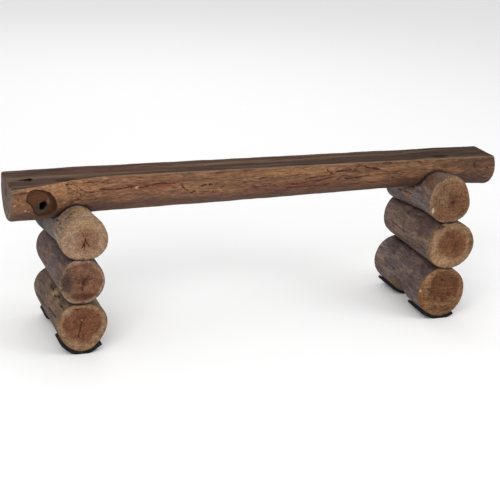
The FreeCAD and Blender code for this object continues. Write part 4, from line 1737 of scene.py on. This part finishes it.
    right_middle = LegLog(
        LogShape("right_middle_log", -0.014, 0.01, 0.005),
        replace(
            barrel, name="right_middle_side", seed=5.3, crack_share=0.15, grey_share=0.5, spots=spots(
                # A painted shadow on the crown under the top log, near its front
                (0.49, -0.09, 0.262, 0.05, 0.05, 0.03, 70, 44, 36, 0.6, 0.9, 0.6))),
        EndGrain(
            "right_middle_end", paint(122, 82, 56), paint(92, 56, 36), paint(138, 108, 82),
            paint(116, 86, 64), 0.6, 11.0, 0.3, 0.18, gain=(0.81, 0.8, 0.77), seed=13.0, spots=end_spots(
                (-0.35, -0.62, 0.42, 0.26, 168, 132, 98, 0.55, 0.9, 0.5),
                (0.04, 0.12, 0.46, 0.5, 106, 69, 46, 0.8, 1.5, 0.2),
                (0.28, -0.02, 0.26, 0.34, 98, 61, 41, 0.6, 0.9, 0.4),
                (-0.08, 0.42, 0.22, 0.14, 86, 54, 38, 0.5, 0.9, 0.6),
                (-0.6, 0.8, 0.28, 0.08, 66, 40, 30, 0.85, 0.6),
                (-0.74, 0.05, 0.08, 0.5, 160, 130, 102, 0.5, 0.8, 0.5),
                (0.86, 0.1, 0.1, 0.45, 104, 72, 52, 0.6, 0.8, 0.5))), pith=(0.12, 0.06), seed=5,
        above=right_top, end_checks=paths((0.02, 0.3, 0.12, 0.34)),
        side_checks=paths((186, 0.0, 180, 0.1), (200, -0.09, 206, 0.0)))
    right_bottom = LegLog(
        LogShape("right_bottom_log", 0.009, -0.008, 0.005, 0.005),
        replace(
            barrel, name="right_bottom_side", seed=6.1, grey_share=0.7, fleck_share=0.8, crack_share=0.15,
            mid=paint(90, 74, 70), grey=paint(86, 76, 76), spots=spots(
                (0.466, 0.052, 0.046, 0.036, 0.016, 0.026, 112, 94, 70, 0.75, 0.7, 0.4))),
        EndGrain(
            "right_bottom_end", paint(118, 76, 52), paint(82, 44, 28), paint(138, 100, 72),
            paint(118, 84, 62), 0.7, 13.0, 0.45, 0.34, gain=(0.72, 0.72, 0.66), seed=16.0, spots=end_spots(
                (0.03, 0.1, 0.8, 0.78, 142, 106, 76, 0.45, 0.8, 0.3),
                (-0.62, 0.36, 0.16, 0.44, 170, 134, 102, 0.55, 0.9, 0.4),
                (0.07, 0.24, 0.66, 0.58, 94, 56, 38, 0.8, 0.9, 0.2),
                (0.07, 0.3, 0.36, 0.34, 116, 76, 54, 0.6, 1.2, 0.4),
                (-0.8, -0.25, 0.12, 0.4, 124, 78, 50, 0.6, 0.9, 0.5),
                (0.0, 0.5, 0.055, 0.045, 52, 30, 22, 0.9, 0.4),
                (-0.91, 0.14, 0.05, 0.07, 198, 160, 134, 0.9, 0.5),
                (0.05, -0.7, 0.6, 0.1, 98, 62, 42, 0.5, 0.9))), pith=(0.04, 0.34), seed=6, above=right_middle,
        arch=Arch(), end_checks=paths((0.02, 0.48, 0.07, 0.44), (-0.3, -0.58, 0.1, -0.63)),
        side_checks=paths((168, 0.02, 162, 0.1)))
    logs = {"left_top": left_top, "left_middle": left_middle, "left_bottom": left_bottom,
            "right_top": right_top, "right_middle": right_middle, "right_bottom": right_bottom}
    for side in ("left", "right"):
        bores = [Counterbore.of(f"{side}_{place}") for place in ("front", "rear")]
        logs[side + "_bottom"].counterbores = tuple(bores)
    return logs


def make_slab() -> SeatSlab:
    """Describes the seat with its finishes.

    Returns:
        The seat.
    """
    side = SlabSide(
        "seat_side", Grain.X, pale=paint(150, 110, 78), mid=paint(118, 82, 58), dark=paint(88, 58, 44),
        grey=paint(102, 76, 60), fleck=paint(164, 124, 88), grey_share=0.15, fleck_share=0.45,
        crack=paint(72, 36, 26), crack_share=0.7, blotch_scale=12.0, stretch=(0.26, 1.0, 1.0), spots=spots(
            (0.03, -0.06, 0.41, 0.19, 0.06, 0.06, 88, 60, 46, 0.58, 0.4, 0.5),
            (-0.25, -0.06, 0.4, 0.09, 0.06, 0.05, 92, 64, 50, 0.42, 0.4, 0.5),
            (-0.686, -0.085, 0.412, 0.026, 0.06, 0.03, 114, 79, 55, 0.8, 0.6),
            (-0.69, -0.085, 0.395, 0.014, 0.06, 0.014, 108, 72, 54, 0.55, 0.9, 0.5),
            (-0.678, -0.085, 0.4365, 0.028, 0.06, 0.0036, 80, 44, 28, 0.85, 0.5, 0.4),
            (-0.688, -0.09, 0.422, 0.0035, 0.05, 0.0032, 58, 32, 24, 0.9, 0.2),
            (-0.697, -0.09, 0.406, 0.0028, 0.05, 0.0024, 168, 134, 108, 0.7, 1.2),
            (-0.699, -0.09, 0.411, 0.0022, 0.05, 0.0022, 66, 38, 32, 0.8, 0.6),
            (-0.693, -0.09, 0.39, 0.0022, 0.05, 0.002, 168, 134, 108, 0.6, 1.2),
            (-0.667, -0.09, 0.386, 0.003, 0.05, 0.0034, 190, 156, 130, 0.8, 1.4),
            (-0.658, -0.09, 0.383, 0.0026, 0.05, 0.0026, 180, 146, 120, 0.7, 1.4),
            # A painted highlight on the lower rim of the knot's bowl
            (-0.607, -0.08, 0.352, 0.045, 0.06, 0.006, 146, 102, 66, 0.8, 0.4, 0.4),
            (-0.2, -0.06, 0.408, 0.04, 0.06, 0.016, 124, 90, 62, 0.75, 0.8, 0.6),
            # Paler wood right of the knot, with a painted highlight along the upper front
            (-0.53, -0.08, 0.425, 0.06, 0.06, 0.022, 144, 104, 72, 0.55, 0.7, 0.6),
            (-0.545, -0.08, 0.372, 0.05, 0.06, 0.014, 104, 66, 48, 0.6, 0.7, 0.5),
            (-0.452, -0.08, 0.419, 0.01, 0.05, 0.005, 92, 46, 34, 0.8, 0.6),
            (-0.32, -0.06, 0.418, 0.08, 0.06, 0.007, 108, 62, 44, 0.75, 0.5, 0.4),
            (-0.36, -0.06, 0.4165, 0.0055, 0.05, 0.004, 178, 138, 104, 0.85, 0.4),
            (-0.38, -0.06, 0.368, 0.2, 0.06, 0.015, 92, 64, 52, 0.55, 0.7, 0.6),
            (-0.158, -0.06, 0.413, 0.0035, 0.05, 0.0035, 44, 24, 18, 0.95, 0.1),
            (-0.135, -0.06, 0.396, 0.02, 0.06, 0.006, 148, 106, 68, 0.6, 0.8),
            (0.02, -0.06, 0.389, 0.08, 0.06, 0.014, 100, 62, 52, 0.6, 0.9, 0.5),
            (0.13, -0.06, 0.396, 0.09, 0.06, 0.009, 104, 60, 46, 0.6, 0.9, 0.5),
            (0.08, -0.06, 0.432, 0.11, 0.06, 0.009, 146, 104, 68, 0.55, 0.9, 0.5),
            (0.35, -0.06, 0.368, 0.11, 0.06, 0.012, 92, 70, 44, 0.55, 0.8, 0.5),
            (0.44, -0.06, 0.378, 0.045, 0.06, 0.02, 88, 52, 38, 0.6, 0.9, 0.6),
            (0.61, -0.06, 0.38, 0.11, 0.06, 0.025, 84, 62, 58, 0.7, 0.6, 0.6),
            (0.638, -0.06, 0.426, 0.003, 0.05, 0.008, 58, 30, 22, 0.9, 0.5)))
    top = SawnTop(
        "seat_top", brown=paint(112, 84, 62), grey=paint(100, 82, 70), dark=paint(66, 46, 36),
        red=paint(104, 64, 46), left_gain=(1.03, 0.92, 0.78), right_gain=(0.91, 0.655, 0.48), seed=3.0,
        spots=spots(
            (-0.556, -0.044, 0.45, 0.032, 0.014, 0.02, 54, 32, 20, 0.95, 0.8, 0.5),
            (-0.6, -0.026, 0.45, 0.05, 0.008, 0.02, 80, 54, 40, 0.6, 0.8, 0.5),
            (-0.39, 0.022, 0.45, 0.19, 0.013, 0.02, 94, 54, 40, 0.6, 0.8, 0.5),
            (0.08, 0.04, 0.45, 0.15, 0.01, 0.02, 80, 46, 38, 0.5, 0.8, 0.5),
            (-0.558, 0.05, 0.45, 0.026, 0.009, 0.02, 50, 32, 24, 0.9, 0.7, 0.5),
            (0.537, -0.027, 0.45, 0.026, 0.012, 0.02, 22, 10, 8, 0.95, 0.4, 0.4),
            (0.528, 0.052, 0.45, 0.026, 0.012, 0.02, 44, 22, 20, 0.9, 0.5, 0.4)))
    end = EndGrain(
        "seat_end", paint(104, 88, 78), paint(76, 62, 54), paint(112, 96, 84), paint(92, 76, 66), 0.7, 16.0,
        0.3, 0.1, gain=(0.9, 0.88, 0.86), seed=20.0)
    return SeatSlab((side, end, top))


def main() -> None:
    """Builds the bench piece by piece, then the studio round it."""
    logging.basicConfig(level=logging.INFO, format="%(name)s: %(message)s")
    tree = WeatherTree()
    logs = make_logs()
    slab = make_slab()
    for side in ("left", "right"):
        top, middle, bottom = (logs[f"{side}_{level}"] for level in ("top", "middle", "bottom"))
        top.build(tree, (slab, middle))
        middle.build(tree, (top, bottom))
        bottom.build(tree, (middle,))
    slab.build(tree, (logs["left_top"], logs["right_top"]))
    rubber, steel = Rubber("pad_rubber").material(), Steel("screw_steel").material()
    nails = NailTree()
    for side in ("left", "right"):
        for place in ("front", "rear"):
            FootPad(f"{side}_{place}_foot_pad").build(logs[side + "_bottom"], rubber, steel, nails)
    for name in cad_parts:
        if name.endswith(("_screw", "_washer")):
            dress_node(name, steel)
    Studio().build()


if __name__ == "__main__":
    main()
